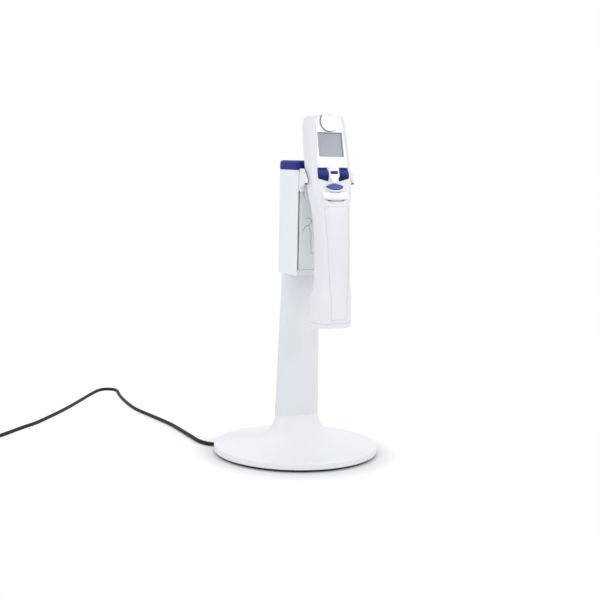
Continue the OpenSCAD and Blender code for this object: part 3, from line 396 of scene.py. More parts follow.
def brushed_group():
    """Drawn or turned metal: a noise stretched along one axis varies the gloss and makes fine lines."""
    tree, given, out = new_group("brushed_metal", {
        "Stretch": ("Vector", (1, 1, 1)), "Rough": ("Float", 0.3),
    }, {"Roughness": "Float", "Normal": "Vector"})
    drawn = add(tree, "Mapping", {"Vector": object_place(tree), "Scale": given["Stretch"]})
    lines = noise(drawn.outputs["Vector"], 900.0, 3.0)
    low, high = [maths("MULTIPLY", given["Rough"], factor) for factor in (0.75, 1.3)]
    rough = remap(lines, 0.0, 1.0, low, high)
    feed(out, {"Roughness": rough, "Normal": relief(lines, 0.1)})
    return tree


def painted_shade_group():
    """Painted shade: one colour turns into another up a place's Z, smoothly, over a reach to either side of
    zero; the low colour is the shade.
    """
    tree, given, out = new_group("two_tone", {
        "Place": ("Vector", (0, 0, 0)), "Reach": ("Float", 0.005),
        "Low": ("Color", (0, 0, 0, 1)), "High": ("Color", (1, 1, 1, 1)),
    }, {"Color": "Color"})
    low, high = maths("MULTIPLY", given["Reach"], -1.0), given["Reach"]
    share = remap(axes(given["Place"])["Z"], low, high, kind="SMOOTHSTEP")
    feed(out, {"Color": color_mix(share, given["Low"], given["High"])})
    return tree


MOULDED, BRUSHED, PAINTED_SHADE = moulded_group(), brushed_group(), painted_shade_group()


def shader(name, **sockets):
    """A material holding one Principled BSDF, with the named sockets set to plain values."""
    material = bpy.data.materials.new(name)
    material.use_nodes = True
    bsdf = material.node_tree.nodes["Principled BSDF"]
    return material, feed(bsdf, {key.replace("_", " "): sockets[key] for key in sockets})


def place_group(bsdf, group, values):
    """Places a group with its own values; its outputs feed the shader's inputs of the same names."""
    look = add(bsdf.id_data, "Group", values, node_tree=group)
    feed(bsdf, {output.name: output for output in look.outputs})


def moulded(bsdf, color, rough, grain, size, drift):
    """Gives a material the moulded plastic; its colour is plain or an output."""
    place_group(bsdf, MOULDED, {"Color": color, "Drift": drift, "Grain Size": size, "Grain Depth": grain,
                                "Rough": rough, "Rough Spread": 0.06})


def plastic(name, color, rough, grain=0.05, size=2500.0, drift=0.015, **sockets):
    """Moulded plastic of one colour."""
    material, bsdf = shader(name, **sockets)
    moulded(bsdf, (*color, 1), rough, grain, size, drift)
    return material


def metal(name, color, rough, stretch):
    """Drawn or turned metal; the stretch is small along its lines."""
    material, bsdf = shader(name, Metallic=1.0, Base_Color=(*color, 1))
    place_group(bsdf, BRUSHED, {"Stretch": stretch, "Rough": rough})
    return material


def head_place(tree, middle):
    """Object coordinates turned into the head's frame about a point: across, inwards and up the face."""
    return add(tree, "Mapping", {
        "Vector": object_place(tree), "Location": (on_head(middle) * MM).tolist(), "Rotation": (-TILT, 0, 0),
    }, vector_type="TEXTURE").outputs["Vector"]


def two_tone(name, middle, low, high, reach, rough):
    """Plastic with painted shade that deepens down the face: from the low colour to the high one over a reach
    in millimetres.
    """
    material, bsdf = shader(name, Specular_IOR_Level=0.12)
    tree = bsdf.id_data
    shade = add(tree, "Group", {"Place": head_place(tree, middle), "Reach": reach * MM,
                                "Low": (*low, 1), "High": (*high, 1)}, node_tree=PAINTED_SHADE)
    moulded(bsdf, shade.outputs["Color"], rough, 0.04, 2500.0, 0.06)
    return material


def striped(name, near, far, height, rough):
    """Plastic below a height and bare metal above it, as on a sleeved pin."""
    material, bsdf = shader(name)
    place = object_place(bsdf.id_data)
    above = maths("GREATER_THAN", axes(place)["Z"], height * MM)
    feed(bsdf, {
        "Base Color": color_mix(above, (*near, 1), (*far, 1)), "Metallic": above,
        "Roughness": remap(noise(place, 700.0), 0.0, 1.0, rough * 0.8, rough * 1.2)})
    return material


# The display in millimetres: its dark border's widths and soft edge, its dots, and half of its colour's slope
BORDER_X, BORDER_U, BORDER_SOFT, DOT_PITCH, SLOPE_HALF = 1.1, 0.9, 0.4, 0.35, 22.0


def screen_look():
    """Grey-blue display: a fine dot raster, lighter towards one corner, with a dark border."""
    material, bsdf = shader("screen_look", Roughness=0.35)
    place = axes(head_place(bsdf.id_data, (0, SCREEN_FLOOR_N, SCREEN_U)))
    beyond = [maths("SUBTRACT", maths("ABSOLUTE", place[axis]), (size / 2 - border) * MM)
              for axis, size, border in (("X", SCREEN_W, BORDER_X), ("Z", SCREEN_H, BORDER_U))]
    edge = remap(maths("MAXIMUM", *beyond), 0.0, BORDER_SOFT * MM)
    slope = remap(maths("SUBTRACT", place["X"], place["Z"]), -SLOPE_HALF * MM, SLOPE_HALF * MM)
    glow = color_mix(slope, (0.27, 0.30, 0.355, 1), (0.36, 0.39, 0.45, 1))
    waves = [maths("SINE", maths("MULTIPLY", place[axis], 2 * math.pi / (DOT_PITCH * MM)))
             for axis in ("X", "Z")]
    dots = remap(maths("MULTIPLY", *waves), -1.0, 1.0, 0.95, 1.0)
    feed(bsdf, {"Base Color": color_mix(edge, scaled(glow, dots), (0.09, 0.10, 0.12, 1))})
    return material


# ------------------------ sizes that the pieces share

LEAN = 12.3  # degrees that the head leans back
TILT = math.radians(LEAN)
SIN_T, COS_T = math.sin(TILT), math.cos(TILT)
HUNG = np.array([0.0, -60.0034, 129.9])
HEAD_Z, HEAD_SET, HEAD_W, HEAD_LEN = 140.0, 11.9, 42.0, 49.5
FACE_N, PLATE_DEEP, WALL, KEY_GAP = 9.9, 1.3, 2.2, 0.3
SCREEN_W, SCREEN_H, SCREEN_U, SCREEN_FLOOR_N = 25.8, 21.7, 22.0, FACE_N - PLATE_DEEP
DIAL_R, DIAL_PROUD, DIAL_U = 9.0, 3.0, HEAD_LEN - 7
ROCKER_X, ROCKER_U, ROCKER_LIP = 5.8, -5.4, 6.0
ROCKER_W = HEAD_W / 2 - 5.5 - ROCKER_X


def on_head(points):
    """Points of the head's frame, leant back with the head and hung on the cradle."""
    x, n, u = np.moveaxis(np.asarray(points, float), -1, 0)
    y, z = u * SIN_T - n * COS_T + HEAD_SET, u * COS_T + n * SIN_T + HEAD_Z
    return np.stack([x, y + HUNG[1], z + HUNG[2]], -1)


def in_head(points):
    """How far out of the face and up it points of the part's frame lie: on_head the other way round."""
    y, z = points[..., 1] - HUNG[1] - HEAD_SET, points[..., 2] - HUNG[2] - HEAD_Z
    return z * SIN_T - y * COS_T, y * SIN_T + z * COS_T


def head_prism(name, outline, n_low, n_high):
    """An outline on the face [across, up] carried straight out of it."""
    return loft(name, [on_head(lift(outline, n, 1)) for n in (n_low, n_high)], None)


def box_corners(w, low, high):
    """Corners of a rectangle that lies evenly to both sides of the middle."""
    return [(-w / 2, low), (w / 2, low), (w / 2, high), (-w / 2, high)]


def head_block(name, w, h, u, n_low, n_high):
    """A block on the face, w across and h up about a place up the middle."""
    return head_prism(name, box_corners(w, u - h / 2, u + h / 2), n_low, n_high)


def circle(r, mid=(0, 0), steps=96):
    """Points on a circle."""
    turn = full_turn(steps)
    return np.column_stack([mid[0] + r * np.cos(turn), mid[1] + r * np.sin(turn)])


stand_white = plastic("stand_white", (0.785, 0.80, 0.825), 0.42, grain=0.10, size=1800.0)
column_white = plastic("column_white", (0.72, 0.735, 0.76), 0.42, grain=0.10, size=1800.0)
body_white = plastic("body_white", (0.745, 0.755, 0.785), 0.30)
face_white = plastic("face_white", (0.88, 0.885, 0.90), 0.12, grain=0.0, drift=0.005, Coat_Weight=0.4)
key_blue = plastic("key_blue", (0.018, 0.030, 0.22), 0.34, drift=0.06, Specular_IOR_Level=0.22)
cap_blue = plastic("cap_blue", (0.014, 0.024, 0.205), 0.42, grain=0.06, drift=0.05, Specular_IOR_Level=0.14)
panel_grey = plastic("panel_grey", (0.765, 0.795, 0.805), 0.45, grain=0.06)
mark_grey = plastic("mark_grey", (0.16, 0.17, 0.18), 0.5, drift=0.1)
# Dark colour for the foot of the dial knob: a painted shadow round it
dial_ring = plastic("dial_ring", (0.025, 0.025, 0.028), 0.5, drift=0.1, Specular_IOR_Level=0.2)
black_plastic = plastic("black_plastic", (0.018, 0.018, 0.020), 0.5, grain=0.15, size=1500.0, drift=0.1)
soft_rubber = plastic("soft_rubber", (0.028, 0.028, 0.030), 0.7, grain=0.2, size=1200.0, drift=0.12)
pad_grey = plastic("pad_grey", (0.09, 0.095, 0.10), 0.6, grain=0.2, size=1200.0, drift=0.1)
lead_black = plastic("lead_black", (0.010, 0.010, 0.011), 0.55, grain=0.08, size=900.0, drift=0.1,
                     Specular_IOR_Level=0.25)
chassis_dark = plastic("chassis_dark", (0.08, 0.08, 0.085), 0.55, grain=0.2, size=1500.0, drift=0.15)
board_green = plastic("board_green", (0.02, 0.12, 0.045), 0.35, grain=0.1, size=600.0, drift=0.25)
cell_blue = plastic("cell_blue", (0.06, 0.08, 0.18), 0.35, drift=0.08)
# The start key's blue is lighter than the other keys' blue: painted light on its cap, which faces up
start_blue = plastic("start_blue", (0.068, 0.11, 0.36), 0.3, drift=0.06, Specular_IOR_Level=0.3)
# Rocker keys and thumb ledge: their darker colour down the face is painted shade on their lower parts
rocker_blue = two_tone("rocker_blue", (0, FACE_N, ROCKER_U + 0.5), (0.008, 0.011, 0.08), (0.020, 0.045, 0.30),
                       4.5, 0.32)
ledge_white = two_tone("ledge_white", (0, 15.1, -28.6), (0.50, 0.51, 0.53), (0.87, 0.875, 0.885), 2.2, 0.3)
clear_window = plastic("clear_window", (0.78, 0.80, 0.84), 0.04, grain=0.0, Alpha=0.10, IOR=1.49)
steel = metal("steel", (0.62, 0.63, 0.65), 0.32, (1.0, 1.0, 0.06))
gold = metal("gold", (0.83, 0.62, 0.26), 0.25, (1.0, 0.1, 1.0))
pin_look = striped("pin_look", (0.02, 0.02, 0.022), (0.66, 0.66, 0.64), 40.0, 0.35)

for material, names in {
    body_white: "rear_shell front_shell grip_panel",
    stand_white: "base_cover",
    face_white: "dial",
    cap_blue: "top_cap",
    black_plastic: "dial_encoder tip_socket power_supply",
    lead_black: "inner_lead supply_lead lead_coil",
    chassis_dark: "chassis head_tray plunger",
    board_green: "charger_board circuit_board key_board",
    cell_blue: "battery_pack",
    steel: "weight_plate tie_rod tie_nut board_screws chassis_screws rocker_axle motor lead_screw "
           "ejector_rod ejector_spring",
    gold: "charge_pins charge_plates",
}.items():
    for name in names.split():
        nodes[name].data.materials.clear()
        nodes[name].data.materials.append(material)

# ------------------------ light and floor

world = bpy.data.worlds.new("world")
bpy.context.scene.world = world
world.use_nodes = True
tree = world.node_tree
shown = feed(tree.nodes["Background"], {"Color": (1, 1, 1, 1), "Strength": 1.0})
lit = add(tree, "Background", {"Color": (0.97, 0.985, 1.0, 1), "Strength": 0.74})
rays = add(tree, "LightPath").outputs
seen = maths("MAXIMUM", rays["Is Camera Ray"],
             maths("MAXIMUM", rays["Is Glossy Ray"], rays["Is Transmission Ray"]))
feed(tree.nodes["World Output"], {"Surface": shader_mix(seen, lit.outputs[0], shown.outputs[0])})


def soft_lamp(name, place, aim, size, power, color=(1, 1, 1)):
    """A square lamp at a place, turned to face a point."""
    lamp = bpy.data.lights.new(name, "AREA")
    lamp.size, lamp.energy, lamp.color = size, power, color
    back = np.array(place, float) - np.array(aim, float)
    back /= np.linalg.norm(back)
    side = np.cross([0, 0, 1.0], back)
    side /= np.linalg.norm(side)
    put_in_scene(name, lamp).matrix_world = Matrix.Translation(place) @ Matrix(
        np.stack([side, np.cross(back, side), back], 1).tolist()).to_4x4()


soft_lamp("key_lamp", (1.3, -1.5, 1.5), (0, -0.03, 0.2), 1.3, 12, (1, 0.99, 0.97))
soft_lamp("fill_lamp", (-1.9, -1.0, 0.9), (0, -0.03, 0.18), 1.6, 10)
soft_lamp("top_lamp", (0.1, 0.5, 2.15), (0, 0, 0.15), 1.6, 13.5)

# The floor has a painted shadow: it is a little darker close to the foot, and it turns plain white further
# out; radii in metres
SHADOW_FULL_TO, SHADOW_GONE_AT, WHITE_FROM, WHITE_AT = 0.076, 0.11, 0.088, 0.34
FLOOR_HALF = 9000
floor = make_piece("floor", [(FLOOR_HALF * a, FLOOR_HALF * b, 0) for a, b in SQUARE], [[0, 1, 2, 3]])
floor_look, bsdf = shader("floor_look", Roughness=0.6)
floor.data.materials.append(floor_look)
tree = bsdf.id_data
reach = add(tree, "VectorMath", {0: object_place(tree)}, operation="LENGTH").outputs["Value"]
# Painted shadow round the foot: the floor's colour is darker near the foot and pale further out
out_of_painted_shadow = remap(reach, SHADOW_FULL_TO, SHADOW_GONE_AT, kind="SMOOTHSTEP")
feed(bsdf, {"Base Color": color_mix(out_of_painted_shadow, (0.74, 0.745, 0.76, 1), (0.95, 0.955, 0.96, 1))})
white = maths("MULTIPLY", remap(reach, WHITE_FROM, WHITE_AT, kind="SMOOTHSTEP"),
              add(tree, "LightPath").outputs["Is Camera Ray"])
glow = add(tree, "Emission", {"Color": (1, 1, 1, 1), "Strength": 1.0})
surface = shader_mix(white, bsdf.outputs[0], glow.outputs[0])
feed(tree.nodes["Material Output"], {"Surface": surface})
bpy.context.scene.view_settings.view_transform = "Standard"

# ------------------------ supply lead

LEAD_D, LEAD_Z = 3.6, 2.0
LEAD_ROUTE = [
    (-60, 50), (-64, 55), (-67.5, 62), (-69, 73), (-68, 89), (-67, 107), (-66, 123), (-65, 146), (-66, 169),
    (-68, 196), (-70, 223), (-69.5, 244), (-66, 272), (-61, 300), (-55.5, 322), (-53, 332), (-54, 342),
    (-62, 347.5), (-71, 344), (-81, 334), (-101, 310), (-127, 278), (-150, 252), (-170, 231), (-188, 213),
    (-205, 200), (-221, 187), (-235, 175.5), (-246, 168.6), (-259, 165.2), (-274, 164.7), (-290, 164.7),
]
COIL_MID = np.array([-290.0, 140.0])
COIL_R, COIL_PITCH, COIL_FLOOR, COIL_TURNS = 21.0, 3.7, 2.7, 6
SUPPLY_FACE = -316.85
# Where the strand moves on in its winding: [turn, degrees into the turn, columns out, layers up]
WINDING = [(0, 295, -1, 0), (1, 260, -1, 0), (2, 225, 0, 1), (3, 190, 1, 0), (4, 155, 1, 0), (5, 120, 0, 1)]
SHIFT_WIDTH = 35.0


def lead_path():
    """The lead's middle line: its route on the table, the turns of the coil, and the way into the supply.

    The coil is a circle whose radius and height change by smooth steps over parts of its turns.
    """
    route = catmull(LEAD_ROUTE, 4)
    rise = LEAD_Z + (COIL_FLOOR - LEAD_Z) * ease((-255 - route[:, 0]) / 25)
    degrees = np.linspace(90, 90 + 360 * COIL_TURNS, 48 * COIL_TURNS + 1)
    out, up = np.ones_like(degrees), np.zeros_like(degrees)
    for turn, at, step_out, step_up in WINDING:
        done = ease((degrees - 360 * turn - at) / SHIFT_WIDTH)
        out += step_out * done
        up += step_up * done
    angle, r = np.radians(degrees), COIL_R + COIL_PITCH * out
    coil = np.column_stack([COIL_MID[0] + r * np.cos(angle), COIL_MID[1] + r * np.sin(angle),
                            COIL_FLOOR + COIL_PITCH * up])
    last = coil[-1] + np.linspace(0, 1, 9)[1:, None] * [SUPPLY_FACE - 0.2 - coil[-1, 0], 0, 0]
    return np.vstack([np.column_stack([route, rise]), coil, last])


lead_line = lead_path()
supply_cord = loft("supply_cord", sweep(lead_line, LEAD_D / 2, 16), 60)
place_piece(supply_cord, "stand", "lead_jacket", lead_black, "supply_lead", "lead_coil")

# Sleeve on the lead where it goes into the supply: it tapers, with rings moulded round it
RELIEF_LEN, RELIEF_R, RELIEF_TAPER, RELIEF_RINGS, RING_DEEP = 20.0, 3.3, 1.2, 8, 0.10
along = np.linspace(0, 1, 81)
in_ring = np.sin(along * RELIEF_RINGS * 2 * math.pi) > 0.2
relief_r = (RELIEF_R - RELIEF_TAPER * along) * (1 - RING_DEEP * in_ring)
relief_line = lead_line[-1] * [0, 1, 1] + (SUPPLY_FACE + RELIEF_LEN * along)[:, None] * [1, 0, 0]
supply_relief = loft("supply_relief", sweep(relief_line, relief_r, 32), 40)
place_piece(supply_relief, "stand", "lead_jacket", lead_black)

SUPPLY_MID, SUPPLY_SIZE = (-333.85, 150.0), (34.0, 56.0)
# The supply's case: [how far in, height], with a parting groove half way up
supply_rise = [(1.2, 0.0), (0.4, 0.3), (0.0, 1.2), (0.0, 15.7), (0.25, 15.7), (0.25, 16.1), (0.0, 16.1),
               (0.0, 27.5), (0.2, 28.6), (0.73, 29.4), (1.6, 29.9), (2.6, 30.0)]
supply_case = loft("supply_case", [
    lift(box_outline(SUPPLY_SIZE[0] - 2 * e, SUPPLY_SIZE[1] - 2 * e, 5 - e, SUPPLY_MID, 12), z)
    for e, z in supply_rise], 40)
place_piece(supply_case, "stand", "dark_plastic", black_plastic, "power_supply")
supply_pins = dress("supply_prongs", "steel", pin_look, 0.5, 3)
lead_band = dress("lead_tie", "rubber", soft_rubber, 0.2)

# ------------------------ stand

BASE_R, RING_H, RIM_TOP, RIM_EDGE, BASE_WALL, SKIRT_STEPS = 78.0, 2.5, 8.5, 1.2, 2.5, 192
NECK_W, NECK_D, NECK_F, NECK_Z = 45.6, 22.4, 1.0, 38.0
EXIT_TURN = math.radians(140)


def flare_rings(share, inset, drop):
    """Rings from the oval neck to the round rim: a Bezier curve gives the share of each and the height.

    The inset moves the skin inwards and the drop lowers it towards the rim, for the inner side.
    """
    t = np.asarray(share, float)[:, None]
    blend = bezier(0.0, 0.0, 0.22, 1.0, t)
    height = bezier(NECK_Z, NECK_Z - 13, RIM_TOP + 3.5, RIM_TOP, t) - drop * t
    turn = full_turn(SKIRT_STEPS)
    rim_r = BASE_R - RIM_EDGE - inset
    x = (1 - blend) * (NECK_W / 2 - inset) * np.cos(turn) + blend * rim_r * np.cos(turn)
    y = (1 - blend) * ((NECK_D / 2 - inset) * np.sin(turn) - NECK_F) + blend * rim_r * np.sin(turn)
    return np.stack([x, y, np.broadcast_to(height, x.shape)], -1)


def round_ring(r, z):
    """A level circle about the stand's axis."""
    return lift(circle(r, steps=SKIRT_STEPS), z)


bend = np.radians(np.linspace(0, 90, 8)[:-1])
foot = loft("foot_cover", np.vstack([
    [round_ring(BASE_R - 0.3, RING_H), round_ring(BASE_R, RING_H + 0.3)],
    [round_ring(BASE_R - RIM_EDGE * (1 - math.cos(a)), RIM_TOP - RIM_EDGE * (1 - math.sin(a)))
     for a in bend],
    flare_rings(np.linspace(1, 0, 61), 0, 0), flare_rings(np.linspace(0, 1, 31), BASE_WALL, BASE_WALL),
    [round_ring(BASE_R - BASE_WALL, RIM_TOP - BASE_WALL - RIM_EDGE), round_ring(BASE_R - BASE_WALL, RING_H)],
]), 40, looped=True)
# The notch through the foot's wall that the lead leaves by: [out from the axis, to the side]
out_way = np.array([math.cos(EXIT_TURN), math.sin(EXIT_TURN)])
side_way = np.array([-out_way[1], out_way[0]])
notch = [out_way * d + side_way * s for d, s in ((69, -3.6), (80.5, -3.6), (80.5, 3.6), (69, 3.6))]
carve(foot, loft("notch", [lift(notch, z) for z in (-1.0, 5.2)], None))
soften(foot, 40)
place_piece(foot, "stand", "stand_plastic", stand_white, "base_cover")

dress("foot_ring", "rubber", soft_rubber, 0.3)
dress("lead_grommet", "rubber", soft_rubber, 0.4)
dress("column", "column_plastic", column_white, 0.25)
dress("housing_shell", "stand_plastic", stand_white, 0.35, 3)
dress("panel_backing", "dark_plastic", black_plastic, 0.1)
panel = dress("front_panel", "panel_grey", panel_grey, 0.25)
# The panel's side faces are black: painted shade in the gap beside the panel
second_material(panel, black_plastic, np.abs(read(panel.data.polygons, "normal")[:, 0]) > 0.9)


def side_prism(name, outline, x_low, x_high):
    """An outline seen from the side [y, z] carried across."""
    return loft(name, [lift(outline, x, 0) for x in (x_low, x_high)], None)


# The arms spread towards their tips, are shortened, and their undersides rise; each ends in a pad
ARM_OUT, ARM_IN, ARM_ROOT, ARM_SPREAD, ARM_SHORT = 24.5, 21.7, -41.0, 1.3, 0.82
PAD_Y, PAD_DEEP, PAD_LOW, PAD_TOP = -52.2, 3.0, 257.9, 260.6
cradle = dress("cradle", "stand_plastic", stand_white, 0.45, 3)
wedge = [(ARM_ROOT + 0.6, 253.0), (-59.0, 253.0), (-59.0, 260.1), (ARM_ROOT + 0.6, 254.1)]
carve(cradle, *[side_prism("wedge", wedge, x - 3, x + 3) for x in (-24.0, 24.0)])
spots = read(cradle.data.vertices, "co") / MM
beyond = np.maximum(ARM_ROOT - spots[:, 1], 0)
spots[:, 0] += np.sign(spots[:, 0]) * ARM_SPREAD * ease(beyond / 9)
spots[:, 1] += beyond * (1 - ARM_SHORT)
cradle.data.vertices.foreach_set("co", (spots * MM).ravel())
round_edges(cradle, 0.45, 3)
pad_x = (ARM_OUT + ARM_IN) / 2 + ARM_SPREAD
pads = lofts("tip_pads", [
    [lift(box_outline(ARM_OUT - ARM_IN - 0.3, PAD_DEEP, 0.9, (x, PAD_Y)), z) for z in (PAD_LOW, PAD_TOP)]
    for x in (-pad_x, pad_x)])
round_edges(pads, 0.35)
place_piece(pads, "stand", "dark_plastic", pad_grey, "arm_pads")

HOUSING_W, HOUSING_D, HOUSING_FRONT, HOUSING_TOP, CAP_H, CAP_R = 42.0, 40.0, 31.0, 270.0, 8.5, 3.0


def cap_rings(inset_rise):
    """Rings of the cap's rounded plan: each is taken in by an inset and stands at a height."""
    inset, z = np.asarray(inset_rise, float).T
    plan = blocks(HOUSING_W / 2 - inset, HOUSING_D / 2 - inset, 10 - inset, 3.2 - inset / 2, 10)
    plan = plan.reshape(len(z), -1, 2)
    plan[..., 1] -= HOUSING_FRONT - HOUSING_D / 2
    return np.concatenate([plan, np.broadcast_to(z[:, None, None], plan.shape[:2] + (1,))], -1)


cap_edge = HOUSING_TOP + CAP_H - CAP_R
cap_crown = [(CAP_R * (1 - math.cos(a)), cap_edge + CAP_R * math.sin(a))
             for a in np.radians(np.linspace(0, 90, 11))]
cap = lofts("cap", [
    cap_rings([(0.5, HOUSING_TOP + 0.05), (0.2, HOUSING_TOP + 0.1), (0, HOUSING_TOP + 0.5), *cap_crown]),
    cap_rings([(1.95, HOUSING_TOP - 4), (1.95, HOUSING_TOP + 0.4)])], 40)
place_piece(cap, "stand", "blue_plastic", cap_blue, "top_cap")

# Line drawing of a hand-held tool and its hook, printed on the grey panel
MARK_LINE = [(2.6, 11.5), (5.4, 12.6), (8.2, 11.2), (8.6, 8.4), (6.4, 6.2), (6.8, 2.4), (8.6, -1.4),
             (8.4, -8.6), (8.9, -14.5), (8.6, -19.5)]
MARK_HOOK = [(6.4, 6.2), (3.4, 5.4), (1.0, 2.8), (0.2, 0.2)]
MARK_FOOT = [(8.6, -19.5), (11.4, -19.9)]
MARK_X, MARK_Z, MARK_WIDTH, PANEL_FRONT = -13.8, 214.0, 0.42, HOUSING_FRONT - 0.3


def ribbon(line):
    """A flat stroke along a smooth curve on the panel: both edges stand off the curve at right angles."""
    p = catmull(line, 10) if len(line) > 2 else np.linspace(line[0], line[1], 12)
    way = np.gradient(p, axis=0)
    way /= np.linalg.norm(way, axis=1)[:, None]
    side = np.column_stack([-way[:, 1], way[:, 0]]) * MARK_WIDTH / 2
    corners = np.stack([p - side, p + side, p + side, p - side], 1) + [MARK_X, MARK_Z]
    return np.insert(corners, 1, -PANEL_FRONT - np.array([0.03, 0.03, -0.02, -0.02]), axis=2)


panel_mark = lofts("panel_mark", [ribbon(line) for line in (MARK_LINE, MARK_HOOK, MARK_FOOT)])
place_piece(panel_mark, "stand", "dark_plastic", mark_grey)

# ------------------------ pipette's body


def head_station(u, grow):
    """A section of the head: its width over the head's own, and its place up the leaning axis."""
    return [HEAD_Z + u * COS_T, -HEAD_SET - u * SIN_T, LEAN, HEAD_W / 2 + grow, FACE_N, 9, 6.5]


# Sections: height, way in front of the foot's axis, lean, half width, half depth, back and front corner radii
STATIONS = np.array([
    [4.5, 0, 0, 18, 14.15, 9, 12], [16.2, 0, 0, 18, 14.15, 9, 12], [29, 0.1, 0, 17.9, 14.15, 9, 12],
    [36, 2, 0, 16.7, 11.9, 9, 12], [49.52, 1.4, 1, 16.1, 12.5, 9.5, 12], [76.56, -0.1, 4, 16, 12.6, 10, 12],
    [101.52, -3.689, 8, 16.75, 12.11, 10, 10],
    head_station(-20, -0.8), head_station(-2, 0), head_station(20, -0.3), head_station(40.5, -1),
    head_station(HEAD_LEN - 3, -1.9),
])
# The crown: its edge's radius, how far its back is lowered, and where that begins, out of the face and up it
CROWN_R, CROWN_DROP, CROWN_N, CROWN_U = 3.0, 7.0, 2, 36
CROWN_STEPS, SEAM = 8, 0.16


def station(s):
    """Sections at the given places along the body, blended by the Catmull-Rom cubic."""
    last = len(STATIONS) - 1
    i = np.minimum(s.astype(int), last - 1)
    four = [STATIONS[np.clip(i + step, 0, last)] for step in (-1, 0, 1, 2)]
    return cubic(*four, (s - i)[:, None])


def stand_up(q, plan, rise):
    """Points of a section's plan, leant with it, raised along its own axis and hung on the cradle."""
    lean = np.radians(q[:, 2])[:, None]
    y = plan[..., 1] * np.cos(lean) - q[:, 1, None] + rise[:, None] * np.sin(lean)
    z = q[:, 0, None] - plan[..., 1] * np.sin(lean) + rise[:, None] * np.cos(lean)
    return np.stack([plan[..., 0], y, z], -1) + HUNG


def slope_crown(points):
    """Lowers the back of the head's top, by the square of the way back and eased in up the head."""
    n, u = in_head(points)
    way_back = np.clip((CROWN_N - n) / (CROWN_N + FACE_N), 0, 1)
    drop = CROWN_DROP * way_back ** 2 * ease((u - CROWN_U) / (HEAD_LEN - CROWN_U))
    return points - drop[..., None] * [0, SIN_T, COS_T]


def body_rings(inset, half=0):
    """Rings of the body: the whole outline, or the half in front (-1) or behind (1) the parting line.

    The sections are rounded rectangles. With no inset a quarter circle of rings rounds the crown's edge.
    Along the parting line both halves have a small chamfer, SEAM wide.
    """
    q = station(np.linspace(0, len(STATIONS) - 1, 12 * (len(STATIONS) - 1) + 1))
    rise = np.zeros(len(q))
    if inset == 0:
        bend = np.radians(np.linspace(0, 90, CROWN_STEPS + 1)[1:])
        taken = np.append(0 * rise, CROWN_R * (1 - np.cos(bend)))
        q, rise = np.vstack([q, np.repeat(q[-1:], CROWN_STEPS, 0)]), np.append(rise, CROWN_R * np.sin(bend))
    else:
        taken = np.full(len(q), inset)
    shape = blocks(q[:, 3] - taken, q[:, 4] - taken, np.maximum(q[:, 5] - taken, 0.8),
                   np.maximum(q[:, 6] - taken, 0.8))
    if half == 0:
        return slope_crown(stand_up(q, shape.reshape(len(q), -1, 2), rise))
    corners = shape[:, [3, 0]] if half < 0 else shape[:, [1, 2]]
    wide = (q[:, 3] - taken)[:, None]
    side = np.array([-1, -1, 1, 1]) if half < 0 else np.array([1, 1, -1, -1])
    seam = np.stack([side * (wide - SEAM * np.array([1, 0, 0, 1])),
                     np.broadcast_to(half * SEAM * np.array([0, 1, 1, 0]), (len(q), 4))], -1)
    plan = np.concatenate([seam[:, :2], corners.reshape(len(q), -1, 2), seam[:, 2:]], 1)
    return slope_crown(stand_up(q, plan, rise))


def inner_room():
    """The room inside the shells, open at the foot."""
    rings = body_rings(WALL)
    return loft("room", np.concatenate([rings[:1] - [0, 0, 2.0], rings]), None)


# The grip panel: its ends among the sections, half its width below, and how much that grows upwards
STRIP_LOW, STRIP_HIGH, STRIP_HALF, STRIP_GROWS = 0.35, 6.25, 7.6, 5.0


def strip_rings(grow, outward, deep, rows=72, cols=24):
    """Strip of the body's front: each ring runs across it on the surface and back below it.

    Half its width grows with the power 1.5 of the way up; its front is flat between two quarter circles.
    """
    t = np.linspace(0, 1, rows + 1)
    q = station(STRIP_LOW - grow * 0.03 + t * (STRIP_HIGH - STRIP_LOW + grow * 0.06))
    half = STRIP_HALF + STRIP_GROWS * t ** 1.5 + grow
    x = np.linspace(-1, 1, cols + 1) * half[:, None]
    r = q[:, 6, None]
    side = np.maximum(0, np.abs(x) - (q[:, 3, None] - r))
    front = q[:, 4, None] - r + np.sqrt(np.maximum(r * r - side * side, 0))
    lean = np.radians(q[:, 2])[:, None]

    def row(depth):
        f = front - depth
        return np.stack([x, -f * np.cos(lean) - q[:, 1, None], q[:, 0, None] + f * np.sin(lean)], -1) + HUNG

    return np.concatenate([row(-outward), row(deep)[:, ::-1]], 1)


FACE_LOW = ROCKER_U + ROCKER_LIP + 0.9


def face_outline(grow):
    """Plate on the face: wide beside the display, with a neck that runs down between the rocker keys."""
    low, high, neck, top = HEAD_W / 2 - 5.4, HEAD_W / 2 - 8, 2.6, HEAD_LEN - CROWN_R
    half = [(low, FACE_LOW, 0.8), (neck + 3, FACE_LOW, 0.4), (neck + 3, -7.6, 2.4), (neck, -10.5, 1.5),
            (neck, -13.2, 0.8)]
    points = rounded([(-x, u, r) for x, u, r in half] + half[::-1] + [(high, top, 2.5), (-high, top, 2.5)])
    away = points - [0, HEAD_LEN / 2]
    return points + grow * away / np.linalg.norm(away, axis=1)[:, None]


def rocker_outline(side, gap):
    """Room for one rocker key on the face."""
    low, high = ROCKER_U - ROCKER_LIP - gap, ROCKER_U + ROCKER_LIP + gap
    inner, outer = side * (ROCKER_X - gap), side * (ROCKER_X + ROCKER_W + gap)
    return [(inner, low + 0.2), (inner, high), (outer, high), (outer, low + 3)]


START_U, START_LEAN, START_W = -16.6, math.radians(26), 16.8


def start_place(points):
    """Points [across, out, up] of the start key's own face, which leans back further than the head."""
    x, n, v = np.moveaxis(np.asarray(points, float), -1, 0)
    cos, sin = math.cos(START_LEAN), math.sin(START_LEAN)
    return on_head(np.stack([x, FACE_N + n * cos - v * sin, START_U + v * cos + n * sin], -1))


